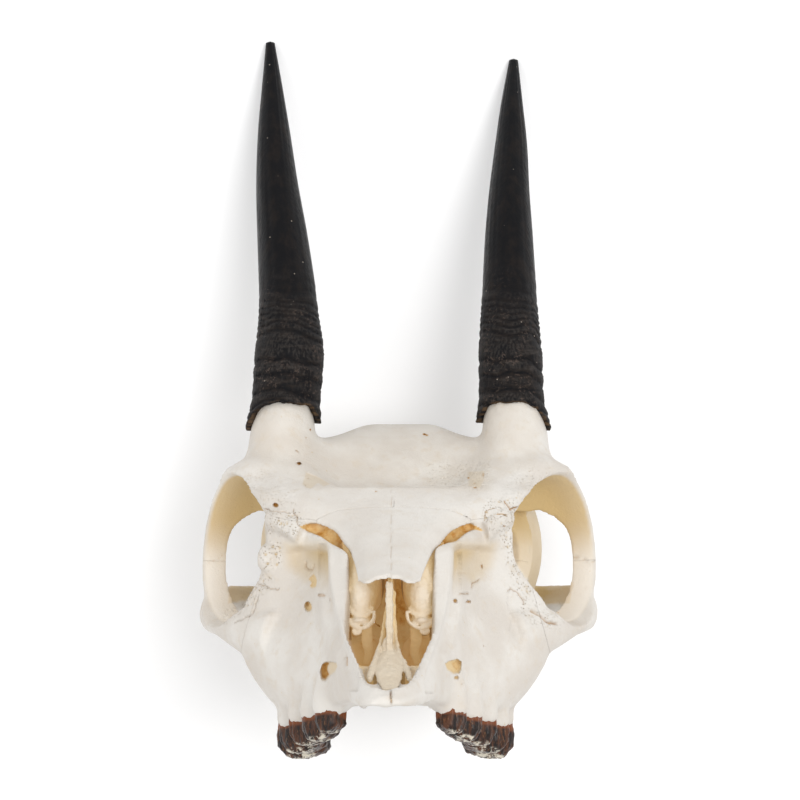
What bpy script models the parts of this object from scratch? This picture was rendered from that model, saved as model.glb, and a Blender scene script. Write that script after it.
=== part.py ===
"""Grysbok skull with both horns, resting on its occipital condyles and horn tips.

The skull is worked out in its own frame, in millimetres: x to the animal's
right, y from the back of the condyles to the nose, z from the tips of the
cheek teeth to the top of the head. The finished pieces are then laid down,
nose up, and written in metres.
"""
import math

import bmesh
import bpy
from mathutils import Euler, Matrix, Vector

MM = 0.001
VOXEL = 0.8
GAP = 0.3
BONE_TRIANGLES = 9900

# Braincase
CRANIUM_CENTRE = (0.0, 33.4, 40.0)
CRANIUM_RADII = (26.5, 28.4, 23.0)
CONDYLE = (7.0, 4.7, 24.0)
FORAMEN_RADIUS = 6.2

# Eye sockets: a ring turned forward about the vertical and leaning in at the top
ORBIT_CENTRE = (29.4, 61.5, 38.2)
ORBIT_TURN = 27.0
ORBIT_LEAN = -4.0
ORBIT_INNER = 13.8
ORBIT_OUTER = 15.7
ORBIT_FLATNESS = 0.975
ORBIT_BAND = 5.4
ORBIT_DEPTH = 15.0

# Forehead and nasal bones, as profiles over y
NASAL_SEAM_Y = 79.6
NASAL_TIP_Y = 106.6
NASAL_THICKNESS = 1.5
FOREHEAD_BACK_Y = 37.0
MIDLINE = ((36, 62.4), (40, 62.8), (46, 61.6), (52, 57.5), (57, 52.0), (61, 48.9), (65, 47.7),
           (70, 47.7), (72.5, 47.9), (74.5, 46.8), (80, 43.6), (90, 38.2), (100, 32.8), (108, 28.6))
SIDE_LINE = ((36, 55), (40, 57), (46, 59), (52, 58.8), (56, 57.2), (60, 54.8), (64, 52.3), (68, 49.9),
             (72.5, 47.8), (75, 46.0), (80, 42.4), (90, 37.0), (100, 31.8), (108, 27.8))
HALF_WIDTH = ((36, 16), (40, 19), (45, 24), (50, 28.5), (55, 31.0), (60, 31.0), (65, 28.8), (70, 26.3),
              (75, 22.5), (78, 17.8), (80, 14.6), (82, 12.2), (84, 10.7), (86, 9.7), (90, 8.0), (94, 6.7),
              (99, 5.7), (104, 5.1), (108, 4.2))
EDGE_DROP = ((36, 9), (45, 9), (52, 6), (58, 3.6), (66, 2.2), (72, 1.2), (80, 1.0), (90, 1.2), (108, 0.6))

# Horns: z, x, y, radius for the two sides, and the bone core inside
HORN_RIGHT = ((60.8, 21.3, 51.2, 6.6), (66, 20.9, 49.2, 6.4), (76.4, 20.5, 45.5, 6.3), (83, 20.8, 43.2, 5.6),
              (89.2, 21.3, 41.0, 5.3), (99.6, 22.5, 37.1, 4.75), (110.2, 23.8, 33.1, 4.0),
              (120.9, 24.7, 29.2, 3.1), (130, 25.3, 25.9, 2.05), (140.3, 26.0, 22.4, 0.8))
HORN_LEFT = ((60.8, -21.1, 51.0, 6.6), (66, -20.8, 49.1, 6.1), (76.2, -20.6, 45.5, 5.8), (83, -20.5, 43.1, 5.35),
             (89, -20.5, 41.0, 5.0), (99.4, -20.5, 37.1, 4.5), (107.8, -20.6, 33.9, 3.9),
             (118, -21.0, 29.55, 3.1), (127, -21.2, 25.9, 2.1), (136.7, -21.6, 21.66, 0.8))
CORE_TOP = 108.0
CORE_WALL = 1.05
HORN_DEPTH = 1.08
MARGIN_SIDE = 61.3
MARGIN_ARCH = 5.2

# Face, one row per station along y: half widths x at heights z, from the roof down
#   y, roof x, roof z, wall x, wall z, hollow x, hollow z, ridge x, ridge z, base x, base z, palate z
FACE = (
    (57, 8.0, 33.0, 10.5, 27.0, 13.0, 21.0, 16.5, 16.0, 18.0, 10.5, 12.0),
    (62, 9.5, 38.0, 13.5, 33.0, 17.5, 25.0, 20.0, 17.0, 19.3, 9.5, 11.0),
    (67, 12.5, 43.0, 20.0, 39.0, 24.0, 28.0, 26.5, 18.5, 20.0, 9.0, 10.5),
    (71, 14.0, 44.5, 24.0, 41.5, 26.2, 30.0, 27.0, 18.5, 20.2, 8.7, 10.3),
    (75, 14.0, 43.5, 22.3, 40.0, 23.0, 30.0, 25.3, 18.0, 19.8, 8.5, 10.2),
    (79, 13.4, 40.5, 16.0, 37.5, 17.6, 28.5, 22.6, 17.2, 18.9, 8.3, 10.0),
    (83, 12.2, 38.3, 13.4, 35.5, 15.0, 27.0, 19.6, 16.2, 17.4, 8.2, 9.8),
    (87, 9.8, 36.6, 12.1, 33.5, 13.5, 25.0, 17.0, 14.9, 15.5, 8.1, 9.5),
    (91.5, 7.9, 34.6, 11.6, 28.0, 12.2, 21.5, 14.2, 13.8, 13.2, 8.0, 9.1),
    (95, 7.9, 28.8, 10.5, 24.4, 11.2, 19.5, 12.3, 13.4, 11.6, 8.0, 8.8),
    (99, 7.8, 24.3, 9.4, 21.4, 10.2, 17.2, 10.6, 13.0, 10.0, 8.0, 8.5),
    (105, 7.3, 20.4, 8.4, 18.3, 8.9, 15.5, 8.8, 12.5, 8.0, 8.0, 8.2),
    (112, 5.9, 16.8, 7.0, 15.0, 7.5, 13.2, 7.5, 11.3, 6.7, 7.8, 7.9),
    (120, 4.6, 13.3, 5.8, 11.8, 6.3, 10.7, 6.3, 9.6, 5.6, 7.4, 7.5),
    (127, 3.5, 10.6, 4.7, 9.6, 5.2, 9.0, 5.2, 8.3, 4.5, 7.0, 7.1),
    (131, 2.7, 9.3, 3.7, 8.8, 4.1, 8.4, 4.1, 7.8, 3.6, 6.8, 6.9),
    (133.6, 1.5, 8.4, 2.2, 8.2, 2.4, 7.9, 2.4, 7.5, 2.1, 6.9, 7.0),
)
# Nasal passage: y, floor x, floor z, middle x, middle z, top x, top z
PASSAGE = (
    (69, 3.6, 16.0, 4.6, 26.0, 4.0, 36.0),
    (74, 5.4, 13.0, 6.3, 26.0, 6.8, 40.5),
    (78, 6.0, 12.2, 7.5, 28.0, 11.5, 41.2),
    (81, 6.2, 12.0, 8.0, 29.0, 13.2, 40.3),
    (84, 6.4, 11.8, 8.0, 28.0, 11.4, 38.8),
    (88, 6.5, 11.6, 7.9, 28.0, 9.0, 37.4),
    (92, 6.6, 11.2, 7.4, 27.0, 7.3, 36.5),
    (98, 6.4, 10.6, 7.3, 22.0, 7.5, 33.0),
    (104, 6.0, 10.2, 7.0, 18.0, 7.3, 28.0),
    (109, 5.2, 9.9, 6.0, 16.0, 6.2, 23.0),
    (116, 4.0, 9.5, 4.6, 13.0, 4.8, 19.0),
    (123, 2.7, 9.0, 3.4, 11.0, 3.6, 15.0),
    (128, 1.9, 8.8, 2.6, 9.9, 2.7, 13.0),
    (130.5, 1.0, 8.8, 1.6, 9.6, 1.7, 12.0),
)

# Cheek teeth from front to back: length and width in mm, and crown tip height
TEETH = ((5.6, 4.4, 4.6), (6.4, 5.4, 3.2), (6.2, 6.6, 2.2), (8.0, 7.6, 1.0), (9.4, 8.6, 0.2), (9.4, 8.4, 0.8))
ROW_FRONT = (9.0, 98.4)
ROW_MIDDLE = (15.6, 76.0)
ROW_BACK = (15.8, 53.0)


def spline(knots, t):
    """Value or values of a smooth curve through rows that begin with t."""
    if t <= knots[0][0]:
        return list(knots[0][1:])
    if t >= knots[-1][0]:
        return list(knots[-1][1:])
    i = 0
    while knots[i + 1][0] < t:
        i += 1
    a, b = knots[i], knots[i + 1]
    before = knots[max(i - 1, 0)]
    after = knots[min(i + 2, len(knots) - 1)]
    span = b[0] - a[0]
    s = (t - a[0]) / span
    values = []
    for k in range(1, len(a)):
        ma = span * (b[k] - before[k]) / (b[0] - before[0])
        mb = span * (after[k] - a[k]) / (after[0] - a[0])
        values.append((2 * s**3 - 3 * s**2 + 1) * a[k] + (s**3 - 2 * s**2 + s) * ma
                      + (3 * s**2 - 2 * s**3) * b[k] + (s**3 - s**2) * mb)
    return values


def smoothstep(low, high, value):
    """0 below low, 1 above high, eased between."""
    t = min(max((value - low) / (high - low), 0.0), 1.0)
    return t * t * (3 - 2 * t)


def closed_curve(points, count):
    """Resample a closed polygon of 2-D points as a smooth loop of count points."""
    n = len(points)
    loop = []
    for k in range(count):
        t = k * n / count
        i = int(t)
        s = t - i
        p0, p1, p2, p3 = (points[(i + j - 1) % n] for j in range(4))
        loop.append([0.5 * (2 * b + (c - a) * s + (2 * a - 5 * b + 4 * c - d) * s * s
                            + (3 * b - a - 3 * c + d) * s**3)
                     for a, b, c, d in zip(p0, p1, p2, p3)])
    return loop


def ball(centre, radii, turn=(0, 0, 0)):
    """An ellipsoid."""
    bm = bmesh.new()
    size = Matrix.Diagonal((*radii, 1.0))
    place = Matrix.Translation(centre) @ Euler([math.radians(a) for a in turn]).to_matrix().to_4x4()
    bmesh.ops.create_uvsphere(bm, u_segments=40, v_segments=24, radius=1.0, matrix=place @ size)
    return bm


def loft(rings):
    """A closed skin over a row of rings with equal point counts."""
    bm = bmesh.new()
    verts = bmesh.ops.create_circle(bm, segments=len(rings[0]), radius=1.0)["verts"]
    for vert, point in zip(verts, rings[0]):
        vert.co = point
    edges = list(bm.edges)
    first = list(edges)
    for ring in rings[1:]:
        made = bmesh.ops.extrude_edge_only(bm, edges=edges)["geom"]
        fresh = {e for e in made if isinstance(e, bmesh.types.BMVert)}
        edges = [e for e in made if isinstance(e, bmesh.types.BMEdge)]
        verts = [next(e.other_vert(v) for e in v.link_edges if e.other_vert(v) in fresh) for v in verts]
        for vert, point in zip(verts, ring):
            vert.co = point
    bmesh.ops.edgeloop_fill(bm, edges=first)
    bmesh.ops.edgeloop_fill(bm, edges=edges)
    bmesh.ops.recalc_face_normals(bm, faces=bm.faces)
    return bm


def limb(knots, side=(1, 0, 0), count=24, steps=5):
    """A tube through rows of x, y, z, half size along side, half size across it."""
    rows = [(i, *row) for i, row in enumerate(knots)]
    total = (len(rows) - 1) * steps
    path = [spline(rows, i / steps) for i in range(total + 1)]
    rings = []
    for i, row in enumerate(path):
        here = Vector(row[:3])
        ahead = Vector(path[min(i + 1, total)][:3])
        behind = Vector(path[max(i - 1, 0)][:3])
        along = (ahead - behind).normalized()
        across = Vector(side) - along * along.dot(Vector(side))
        across.normalize()
        other = along.cross(across)
        rings.append([here + across * row[3] * math.cos(a) + other * row[4] * math.sin(a)
                      for a in (2 * math.pi * k / count for k in range(count))])
    return loft(rings)


def prism(outline, axis, low, high):
    """A flat polygon carried along one axis; its two numbers are the other axes in order."""
    bm = bmesh.new()
    verts = bmesh.ops.create_circle(bm, cap_ends=True, segments=len(outline), radius=1.0)["verts"]
    others = [k for k in range(3) if k != axis]
    for vert, point in zip(verts, outline):
        vert.co[axis] = low
        vert.co[others[0]], vert.co[others[1]] = point
    made = bmesh.ops.extrude_face_region(bm, geom=list(bm.faces))["geom"]
    for element in made:
        if isinstance(element, bmesh.types.BMVert):
            element.co[axis] = high
    bmesh.ops.recalc_face_normals(bm, faces=bm.faces)
    return bm


def sheet(line, axis, low, high):
    """A thin sheet with the width of the gap between bones, bent along a line of points."""
    left, right = [], []
    for i, point in enumerate(line):
        a = Vector(line[max(i - 1, 0)])
        b = Vector(line[min(i + 1, len(line) - 1)])
        across = (b - a).normalized().orthogonal() * (GAP / 2)
        left.append(tuple(Vector(point) + across))
        right.append(tuple(Vector(point) - across))
    return prism(left + right[::-1], axis, low, high)


def slab(top, bottom, across=20, along=60):
    """A closed plate between two surfaces given over u and v from -1 to 1."""
    bm = bmesh.new()
    bmesh.ops.create_grid(bm, x_segments=across, y_segments=along, size=1.0)
    made = bmesh.ops.extrude_face_region(bm, geom=list(bm.faces))["geom"]
    under = {e for e in made if isinstance(e, bmesh.types.BMVert)}
    for vert in bm.verts:
        surface = bottom if vert in under else top
        vert.co = surface(vert.co.x, vert.co.y)
    bmesh.ops.recalc_face_normals(bm, faces=bm.faces)
    return bm


def mirrored(bm):
    """A copy on the other side of the head."""
    twin = bm.copy()
    bmesh.ops.scale(twin, vec=(-1, 1, 1), verts=twin.verts)
    bmesh.ops.reverse_faces(twin, faces=twin.faces)
    return twin


def pair(bm):
    """A piece and its mirror image."""
    return [bm, mirrored(bm)]


def gathered(pieces):
    """All pieces in one mesh, not yet joined."""
    whole = bmesh.new()
    for piece in pieces:
        mesh = bpy.data.meshes.new("piece")
        piece.to_mesh(mesh)
        whole.from_mesh(mesh)
        bpy.data.meshes.remove(mesh)
    return whole


def body(name, bm):
    """An object holding a mesh."""
    mesh = bpy.data.meshes.new(name)
    bm.to_mesh(mesh)
    thing = bpy.data.objects.new(name, mesh)
    bpy.context.scene.collection.objects.link(thing)
    return thing


def settle(thing):
    """Apply every modifier."""
    bpy.context.view_layer.update()
    graph = bpy.context.evaluated_depsgraph_get()
    mesh = bpy.data.meshes.new_from_object(thing.evaluated_get(graph))
    old = thing.data
    thing.modifiers.clear()
    thing.data = mesh
    bpy.data.meshes.remove(old)
    return thing


def fused(name, pieces, voxel=VOXEL, smooth=3):
    """Overlapping closed pieces as one smooth skin."""
    thing = body(name, gathered(pieces))
    remesh = thing.modifiers.new("Remesh", "REMESH")
    remesh.mode = "VOXEL"
    remesh.voxel_size = voxel
    if smooth:
        relax = thing.modifiers.new("Smooth", "SMOOTH")
        relax.factor = 0.5
        relax.iterations = smooth
    return settle(thing)


def combined(thing, other, operation):
    """Boolean of two objects; the second one is used up."""
    step = thing.modifiers.new("Boolean", "BOOLEAN")
    step.operation = operation
    step.solver = "MANIFOLD"
    step.object = other
    settle(thing)
    bpy.data.objects.remove(other)
    return thing


def mended(thing):
    """Close the odd torn edge that a collapse can leave."""
    bm = bmesh.new()
    bm.from_mesh(thing.data)
    bmesh.ops.triangulate(bm, faces=bm.faces)
    for _ in range(4):
        torn = {v for e in bm.edges if len(e.link_faces) != 2 for v in e.verts}
        if not torn:
            break
        bmesh.ops.remove_doubles(bm, verts=list(torn), dist=0.12)
        crowded = [f for e in bm.edges if len(e.link_faces) > 2 for f in e.link_faces]
        bmesh.ops.delete(bm, geom=list(set(crowded)), context="FACES")
        loose = [v for v in bm.verts if not v.link_faces]
        bmesh.ops.delete(bm, geom=loose, context="VERTS")
        rim = [e for e in bm.edges if len(e.link_faces) == 1]
        made = bmesh.ops.holes_fill(bm, edges=rim, sides=0)["faces"]
        bmesh.ops.triangulate(bm, faces=made)
    bm.to_mesh(thing.data)
    bm.free()
    return thing


def decimated(thing, triangles):
    """Fewer triangles, with the shape kept."""
    thing.data.calc_loop_triangles()
    step = thing.modifiers.new("Decimate", "DECIMATE")
    step.ratio = min(1.0, triangles / len(thing.data.loop_triangles))
    return mended(settle(thing))


def islands(bm):
    """Groups of faces that hang together, largest first."""
    left = set(bm.faces)
    groups = []
    while left:
        seed = left.pop()
        group, edge = {seed}, [seed]
        while edge:
            face = edge.pop()
            for e in face.edges:
                for near in e.link_faces:
                    if near in left:
                        left.discard(near)
                        group.add(near)
                        edge.append(near)
        groups.append(group)
    return sorted(groups, key=len, reverse=True)


def forehead_z(x, y):
    """Height of the top of the head, the forehead and the nasal bones."""
    middle = spline(MIDLINE, y)[0]
    side = spline(SIDE_LINE, y)[0]
    width = spline(HALF_WIDTH, y)[0]
    reach = abs(x) / width
    ease = smoothstep(0.25, 0.62, reach) if y < 73 else reach**2.2
    blend = smoothstep(71.5, 74.5, y)
    ease = smoothstep(0.25, 0.62, reach) * (1 - blend) + reach**2.2 * blend
    return middle + (side - middle) * ease - spline(EDGE_DROP, y)[0] * smoothstep(0.7, 1.05, reach)


def roof_point(u, y):
    """Point on the top of the forehead or nasal bones, u across from -1 to 1."""
    x = u * spline(HALF_WIDTH, y)[0]
    return Vector((x, y, forehead_z(x, y)))


def roof_slab(low, high, shape, along):
    """A plate under the top surface from y low to y high; shape gives thickness and shift of y."""
    def top(u, v):
        y = low + (high - low) * (v + 1) / 2
        return roof_point(u, y + shape(u, v, y)[1])

    def bottom(u, v):
        y = low + (high - low) * (v + 1) / 2
        thick, shift = shape(u, v, y)
        return roof_point(u, y + shift) - Vector((0, 0, thick))
    return slab(top, bottom, along=along)


def forehead_shape(u, v, y):
    thick = 9.0 + (NASAL_THICKNESS + 1.0 - 9.0) * smoothstep(66.0, 79.0, y)
    return thick * (1 - 0.45 * abs(u)**3), 0.0


def nasal_shape(u, v, y):
    """Thin towards the edges, with a scalloped front end."""
    scallop = 1.3 * (1 - abs(math.cos(1.5 * math.pi * u))) + 2.2 * abs(u)**4
    return NASAL_THICKNESS * (1 - 0.4 * abs(u)**3), -scallop * smoothstep(0.6, 1.0, v)


def half_rings(rows, outline, step=1.5):
    """Rings for a loft along y, from a table of stations."""
    length = rows[-1][0] - rows[0][0]
    count = int(length / step)
    rings = []
    for i in range(count + 1):
        y = rows[0][0] + length * i / count
        half = outline(spline(rows, y))
        whole = half + [(-x, z) for x, z in reversed(half[1:-1])]
        rings.append([Vector((x, y, z)) for x, z in closed_curve(whole, 56)])
    return rings


def face_outline(row):
    roof_x, roof_z, wall_x, wall_z, dip_x, dip_z, ridge_x, ridge_z, base_x, base_z, palate_z = row
    return [(0, roof_z + 0.6), (roof_x * 0.6, roof_z + 0.5), (roof_x, roof_z), (wall_x, wall_z), (dip_x, dip_z),
            (ridge_x, ridge_z), (base_x, base_z), (base_x * 0.62, base_z + 0.4), (0, palate_z)]


def passage_outline(row):
    floor_x, floor_z, middle_x, middle_z, top_x, top_z = row
    return [(0, top_z + 0.4), (top_x, top_z), (middle_x, middle_z), (floor_x, floor_z), (0, floor_z - 0.3)]


def orbit_place():
    turn = Matrix.Rotation(math.radians(ORBIT_LEAN), 4, "Y") @ Matrix.Rotation(math.radians(ORBIT_TURN), 4, "Z")
    return Matrix.Translation(ORBIT_CENTRE) @ turn @ Matrix.Diagonal((1, 1, ORBIT_FLATNESS, 1))


def orbit_ring():
    """The rim of the eye socket, a band turned about the socket's axis."""
    bm = bmesh.new()
    corners = [(-ORBIT_BAND, ORBIT_INNER - 1.0), (0.4, ORBIT_INNER - 0.4), (0.7, ORBIT_OUTER - 0.7),
               (-0.6, ORBIT_OUTER), (-ORBIT_BAND, ORBIT_OUTER - 0.9)]
    rings = []
    for k in range(64):
        a = 2 * math.pi * k / 64
        rings.append([Vector((x, r * math.cos(a), r * math.sin(a))) for x, r in corners])
    verts = bmesh.ops.create_circle(bm, segments=len(corners), radius=1.0)["verts"]
    for vert, point in zip(verts, rings[0]):
        vert.co = point
    bmesh.ops.spin(bm, geom=list(bm.verts) + list(bm.edges), cent=(0, 0, 0), axis=(1, 0, 0),
                   angle=2 * math.pi, steps=64, use_merge=True)
    bmesh.ops.remove_doubles(bm, verts=bm.verts, dist=0.01)
    bmesh.ops.recalc_face_normals(bm, faces=bm.faces)
    bmesh.ops.transform(bm, matrix=orbit_place(), verts=bm.verts)
    return bm


def orbit_bowl():
    """The space of the eye socket, open to the side."""
    knots = [(-ORBIT_DEPTH, 1.5), (-13.5, 6.0), (-11, 9.3), (-8, 11.6), (-5, 13.0), (0, ORBIT_INNER), (9, 18.5)]
    rings = []
    for x, r in knots:
        rings.append([Vector((x, r * math.cos(a), r * math.sin(a)))
                      for a in (2 * math.pi * k / 40 for k in range(40))])
    bm = loft(rings)
    bmesh.ops.transform(bm, matrix=orbit_place(), verts=bm.verts)
    return bm


def tooth_row_point(s):
    """Centre of the tooth row, s from 0 in front to 1 at the back."""
    a, b, c = ROW_FRONT, ROW_MIDDLE, ROW_BACK
    rows = ((0.0, *a), (0.5, *b), (1.0, *c))
    return spline(rows, s)


def teeth():
    """The six cheek teeth of one side, each with two outer cusps."""
    pieces = []
    total = sum(t[0] for t in TEETH)
    done = 0.0
    for length, width, tip in TEETH:
        s = (done + length / 2) / total
        done += length
        x, y = tooth_row_point(s)
        ahead = tooth_row_point(min(s + 0.02, 1.0))
        behind = tooth_row_point(max(s - 0.02, 0.0))
        turn = math.atan2(ahead[0] - behind[0], behind[1] - ahead[1])
        for end in (-1, 1):
            lobe = end * length * 0.25
            rings = []
            for z, grow in ((14.0, 0.86), (9.0, 0.98), (tip + 3.0, 1.0), (tip + 1.2, 0.86), (tip, 0.5)):
                ring = []
                for k in range(16):
                    a = 2 * math.pi * k / 16
                    px = 0.5 * width * grow * math.cos(a) + (0.1 * width if z < tip + 2 else 0)
                    py = lobe + 0.31 * length * grow * math.sin(a)
                    ring.append(Vector((x + px * math.cos(turn) + py * math.sin(turn),
                                        y - px * math.sin(turn) + py * math.cos(turn), z)))
                rings.append(ring)
            pieces.append(loft(rings))
    return pieces


def skull_lumps():
    """Every bone of the skull as overlapping closed pieces."""
    lumps = [
        ball(CRANIUM_CENTRE, CRANIUM_RADII),
        ball((0, 14.8, 36), (20, 9.5, 16)),
        limb([(0, 6, 20, 8, 4), (0, 20, 16, 7, 3.5), (0, 36, 17, 5.5, 4), (0, 52, 20, 5, 5)]),
        limb([(0, 30, 34, 14, 15), (0, 46, 32, 12, 15), (0, 60, 30.5, 10.5, 14.5), (0, 72, 29, 11, 14)]),
        limb([(-17, 12.0, 40, 2, 2), (-10, 10.4, 47, 2.2, 2.2), (0, 9.7, 49.5, 2.4, 2.4), (10, 10.4, 47, 2.2, 2.2),
              (17, 12.0, 40, 2, 2)], side=(0, 1, 0)),
        loft(half_rings(FACE, face_outline)),
        roof_slab(FOREHEAD_BACK_Y, NASAL_SEAM_Y, forehead_shape, 40),
    ]
    sided = [
        ball(CONDYLE, (5, 5, 6.5)),
        limb([(14, 10, 34, 6, 4), (15.5, 9, 24, 4.5, 3), (15, 10, 15, 3, 2.2), (14, 11, 7, 1.6, 1.3)]),
        ball((12.5, 26, 14.5), (6.5, 9, 8)),
        limb([(14, 25, 19, 3.5, 3.5), (19, 23, 24, 3, 3), (24, 21, 28, 2.6, 2.6)]),
        limb([(6.2, 66, 14, 1.2, 5), (6.0, 56, 14.5, 1.0, 5.5), (6.5, 46, 16, 1.0, 4)]),
        orbit_ring(),
        limb([(21, 78, 21, 2.5, 4.5), (26, 70, 21.5, 3, 4.3), (31, 61, 23, 2.6, 3.6), (34.3, 53, 26, 1.9, 3.6),
              (34.2, 44, 29, 1.5, 3), (31.5, 35, 30.5, 1.4, 2.6), (27.5, 27, 30.5, 1.8, 3), (22, 21, 30, 3, 4)],
             side=(1, 0.5, 0)),
        limb([(21.2, 53.5, 50, 8.6, 8.6), (21.3, 52, 56, 6.6, 7.4), (21.3, 51.3, 59, 6.1, 6.7),
              (21.2, 50.9, 60.9, 5.5, 6.0)]),
        ball((25.2, 56.5, 51.0), (8.2, 9, 4.8)),
    ]
    for piece in sided + teeth():
        lumps += pair(piece)
    return lumps


def skull_hollows():
    """The spaces cut out of the fused skull."""
    hollows = [
        loft(half_rings(PASSAGE, passage_outline)),
        limb([(0, -3, 26.5, 6.4, 6), (0, 6, 26.5, FORAMEN_RADIUS, 5.6), (0, 14, 28, 4.5, 4.2)]),
        limb([(0, 46, 13, 4.6, 3.6), (0, 58, 14, 4.8, 3.8), (0, 66, 15.5, 4.6, 3.6), (0, 74, 17, 4, 3.6)]),
    ]
    sided = [
        orbit_bowl(),
        limb([(22, 58, 38, 9, 9), (16, 51, 37, 6, 7), (11.5, 45.5, 36, 2.5, 3)], side=(1, -1, 0)),
        limb([(1.9, 106, 4, 0.7, 2.4), (1.9, 108, 14, 0.7, 2.4)], side=(1, 0, 0)),
        limb([(10.9, 102, 14.4, 1.3, 1.5), (10.2, 96, 15, 1.3, 1.5), (9.6, 93, 15.4, 0.8, 0.9)], side=(1, 0, 0)),
    ]
    fissure = [Vector((x, y, 0)) for x, y in closed_curve([(1.0, 103), (2.9, 106), (3.3, 114), (2.0, 124),
                                                          (1.1, 121), (0.9, 112)], 24)]
    sided[2] = loft([[p + Vector((0, 0, z)) for p in fissure] for z in (4, 14)])
    for piece in sided:
        hollows += pair(piece)
    return hollows


def horn_rows(side_knots, grow, low, high):
    """Rows for a limb along a horn, with the radius changed by grow."""
    rows = []
    heights = [k[0] for k in side_knots if low < k[0] < high]
    for z in [low] + heights + [high]:
        x, y, radius = spline(side_knots, z)
        r = grow(z, radius)
        rows.append((x, y, z, r, r * HORN_DEPTH))
    return rows


def core_radius(z, radius):
    fade = smoothstep(70, CORE_TOP + 4, z)
    return (radius - CORE_WALL) * (1 - fade) + 0.6 * fade


def build_horn(side_knots, name):
    """A horn sheath with its socket and arched margin, and the bone core that fills it."""
    top = side_knots[-1][0]
    sheath = body(name, limb(horn_rows(side_knots, lambda z, r: r, side_knots[0][0], top), count=24, steps=2))
    socket = limb(horn_rows(side_knots, lambda z, r: core_radius(z, r) + GAP, 58.0, CORE_TOP + GAP),
                  count=16, steps=1)
    combined(sheath, body("socket", socket), "DIFFERENCE")
    centre = side_knots[1][1]
    arch = [(-9.0, 0.0)] + [(t, MARGIN_ARCH * (1 - (t / 6.8)**2)) for t in (-6.8, -4.5, -2.2, 0, 2.2, 4.5, 6.8)]
    outline = [(centre + x, MARGIN_SIDE + z) for x, z in arch + [(9.0, 0.0), (9.0, -6.0), (-9.0, -6.0)]]
    combined(sheath, body("margin", prism(outline, 1, 35, 65)), "DIFFERENCE")
    core = limb(horn_rows(side_knots, core_radius, 55.0, CORE_TOP), count=16, steps=1)
    return sheath, body("core", core)


def septum():
    """The upright bony plate in the nose."""
    low, high = 12.4, 3.1
    points = [(74, low + 1.5), (78, low), (100, low - 0.4), (104.5, 14), (106, 20), (105, 26.5)]
    points += [(y, forehead_z(0, y) - high) for y in (98, 90, 84, 78)]
    return prism(points, 0, -0.5, 0.5)


def turbinate():
    """A scroll of thin bone at the side of the nose."""
    turns = 1.35
    count = 20
    outer, inner = [], []
    for k in range(count + 1):
        t = k / count
        a = math.radians(100) + turns * 2 * math.pi * t
        r = 2.75 * (1 - 0.72 * t)
        outer.append((4.05 + r * math.cos(a) * 0.92, 24.6 + 1.9 * r * math.sin(a)))
        inner.append((4.05 + (r - 0.6) * math.cos(a) * 0.92, 24.6 + 1.9 * (r - 0.6) * math.sin(a)))
    rings = []
    for y, grow in ((78, 0.9), (86, 1.0), (94, 0.92), (98, 0.75)):
        rings.append([Vector((4.05 + (x - 4.05) * grow, y, 24.6 + (z - 24.6) * grow))
                      for x, z in outer + inner[::-1]])
    return loft(rings)


def split(whole, sheets, seeds):
    """Cut the skull along its seams and name the pieces that hold the seed points."""
    for cutter in sheets:
        combined(whole, body("cutter", cutter), "DIFFERENCE")
    bm = bmesh.new()
    bm.from_mesh(whole.data)
    groups = islands(bm)[: len(seeds) + 6]
    named = {}
    for name, seed in seeds.items():
        target = Vector(seed)
        named[name] = min(groups, key=lambda g: min((f.calc_center_median() - target).length for f in g))
    pieces = {}
    for name, group in named.items():
        part = bm.copy()
        part.faces.ensure_lookup_table()
        keep = {f.index for f in group}
        bmesh.ops.delete(part, geom=[f for f in part.faces if f.index not in keep], context="FACES")
        pieces[name] = body(name, part)
        part.free()
    bpy.data.objects.remove(whole)
    return pieces


def seams():
    """The thin cuts between the bones."""
    wide = 45.0
    return [
        sheet([(38, 67), (42, 56), (44.3, 46), (45, 36.6), (64, 36.6), (68, 40.5), (72, 44.6), (77, 42.6),
               (82.0, 40.2)], 0, -wide, wide),
        sheet([(62.0, 37), (62.0, 24), (50.5, 24), (50.5, -3)], 0, -24, 24),
        sheet([(62.0, 28), (62.0, 21)], 0, -26.6, 26.6),
        sheet([(105.5, 26), (112.5, 3)], 0, -14, 14),
        prism([(-GAP / 2, 50), (GAP / 2, 50), (GAP / 2, 111), (-GAP / 2, 111)], 2, 2, 24),
        prism([(-GAP / 2, 61.9), (GAP / 2, 61.9), (GAP / 2, 66.5), (-GAP / 2, 66.5)], 2, 18, 40),
        prism([(-GAP / 2, 65), (GAP / 2, 65), (GAP / 2, 81), (-GAP / 2, 81)], 2, 18, 44.5),
        sheet([(29, 13), (26.6, 21), (25.2, 26), (24.2, 30), (28, 31.6), (37, 32)], 1, 54, 82),
        sheet([(-29, 13), (-26.6, 21), (-25.2, 26), (-24.2, 30), (-28, 31.6), (-37, 32)], 1, 54, 82),
        prism([(26, 33.85), (37, 33.85), (37, 34.15), (26, 34.15)], 2, 22, 38),
        prism([(-37, 33.85), (-26, 33.85), (-26, 34.15), (-37, 34.15)], 2, 22, 38),
    ]


SEEDS = {
    "braincase": (0, 5, 48),
    "forehead": (0, 70, 47.7),
    "upper_jaw_right": (20, 79, 28),
    "upper_jaw_left": (-20, 79, 28),
    "premaxilla": (0, 133, 7.5),
    "cheekbone_right": (35.5, 50, 27),
    "cheekbone_left": (-35.5, 50, 27),
}

COLOURS = {
    "horn": (0.02, 0.017, 0.016, 1.0),
    "bone": (0.83, 0.79, 0.70, 1.0),
    "scroll": (0.72, 0.62, 0.46, 1.0),
}


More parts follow.
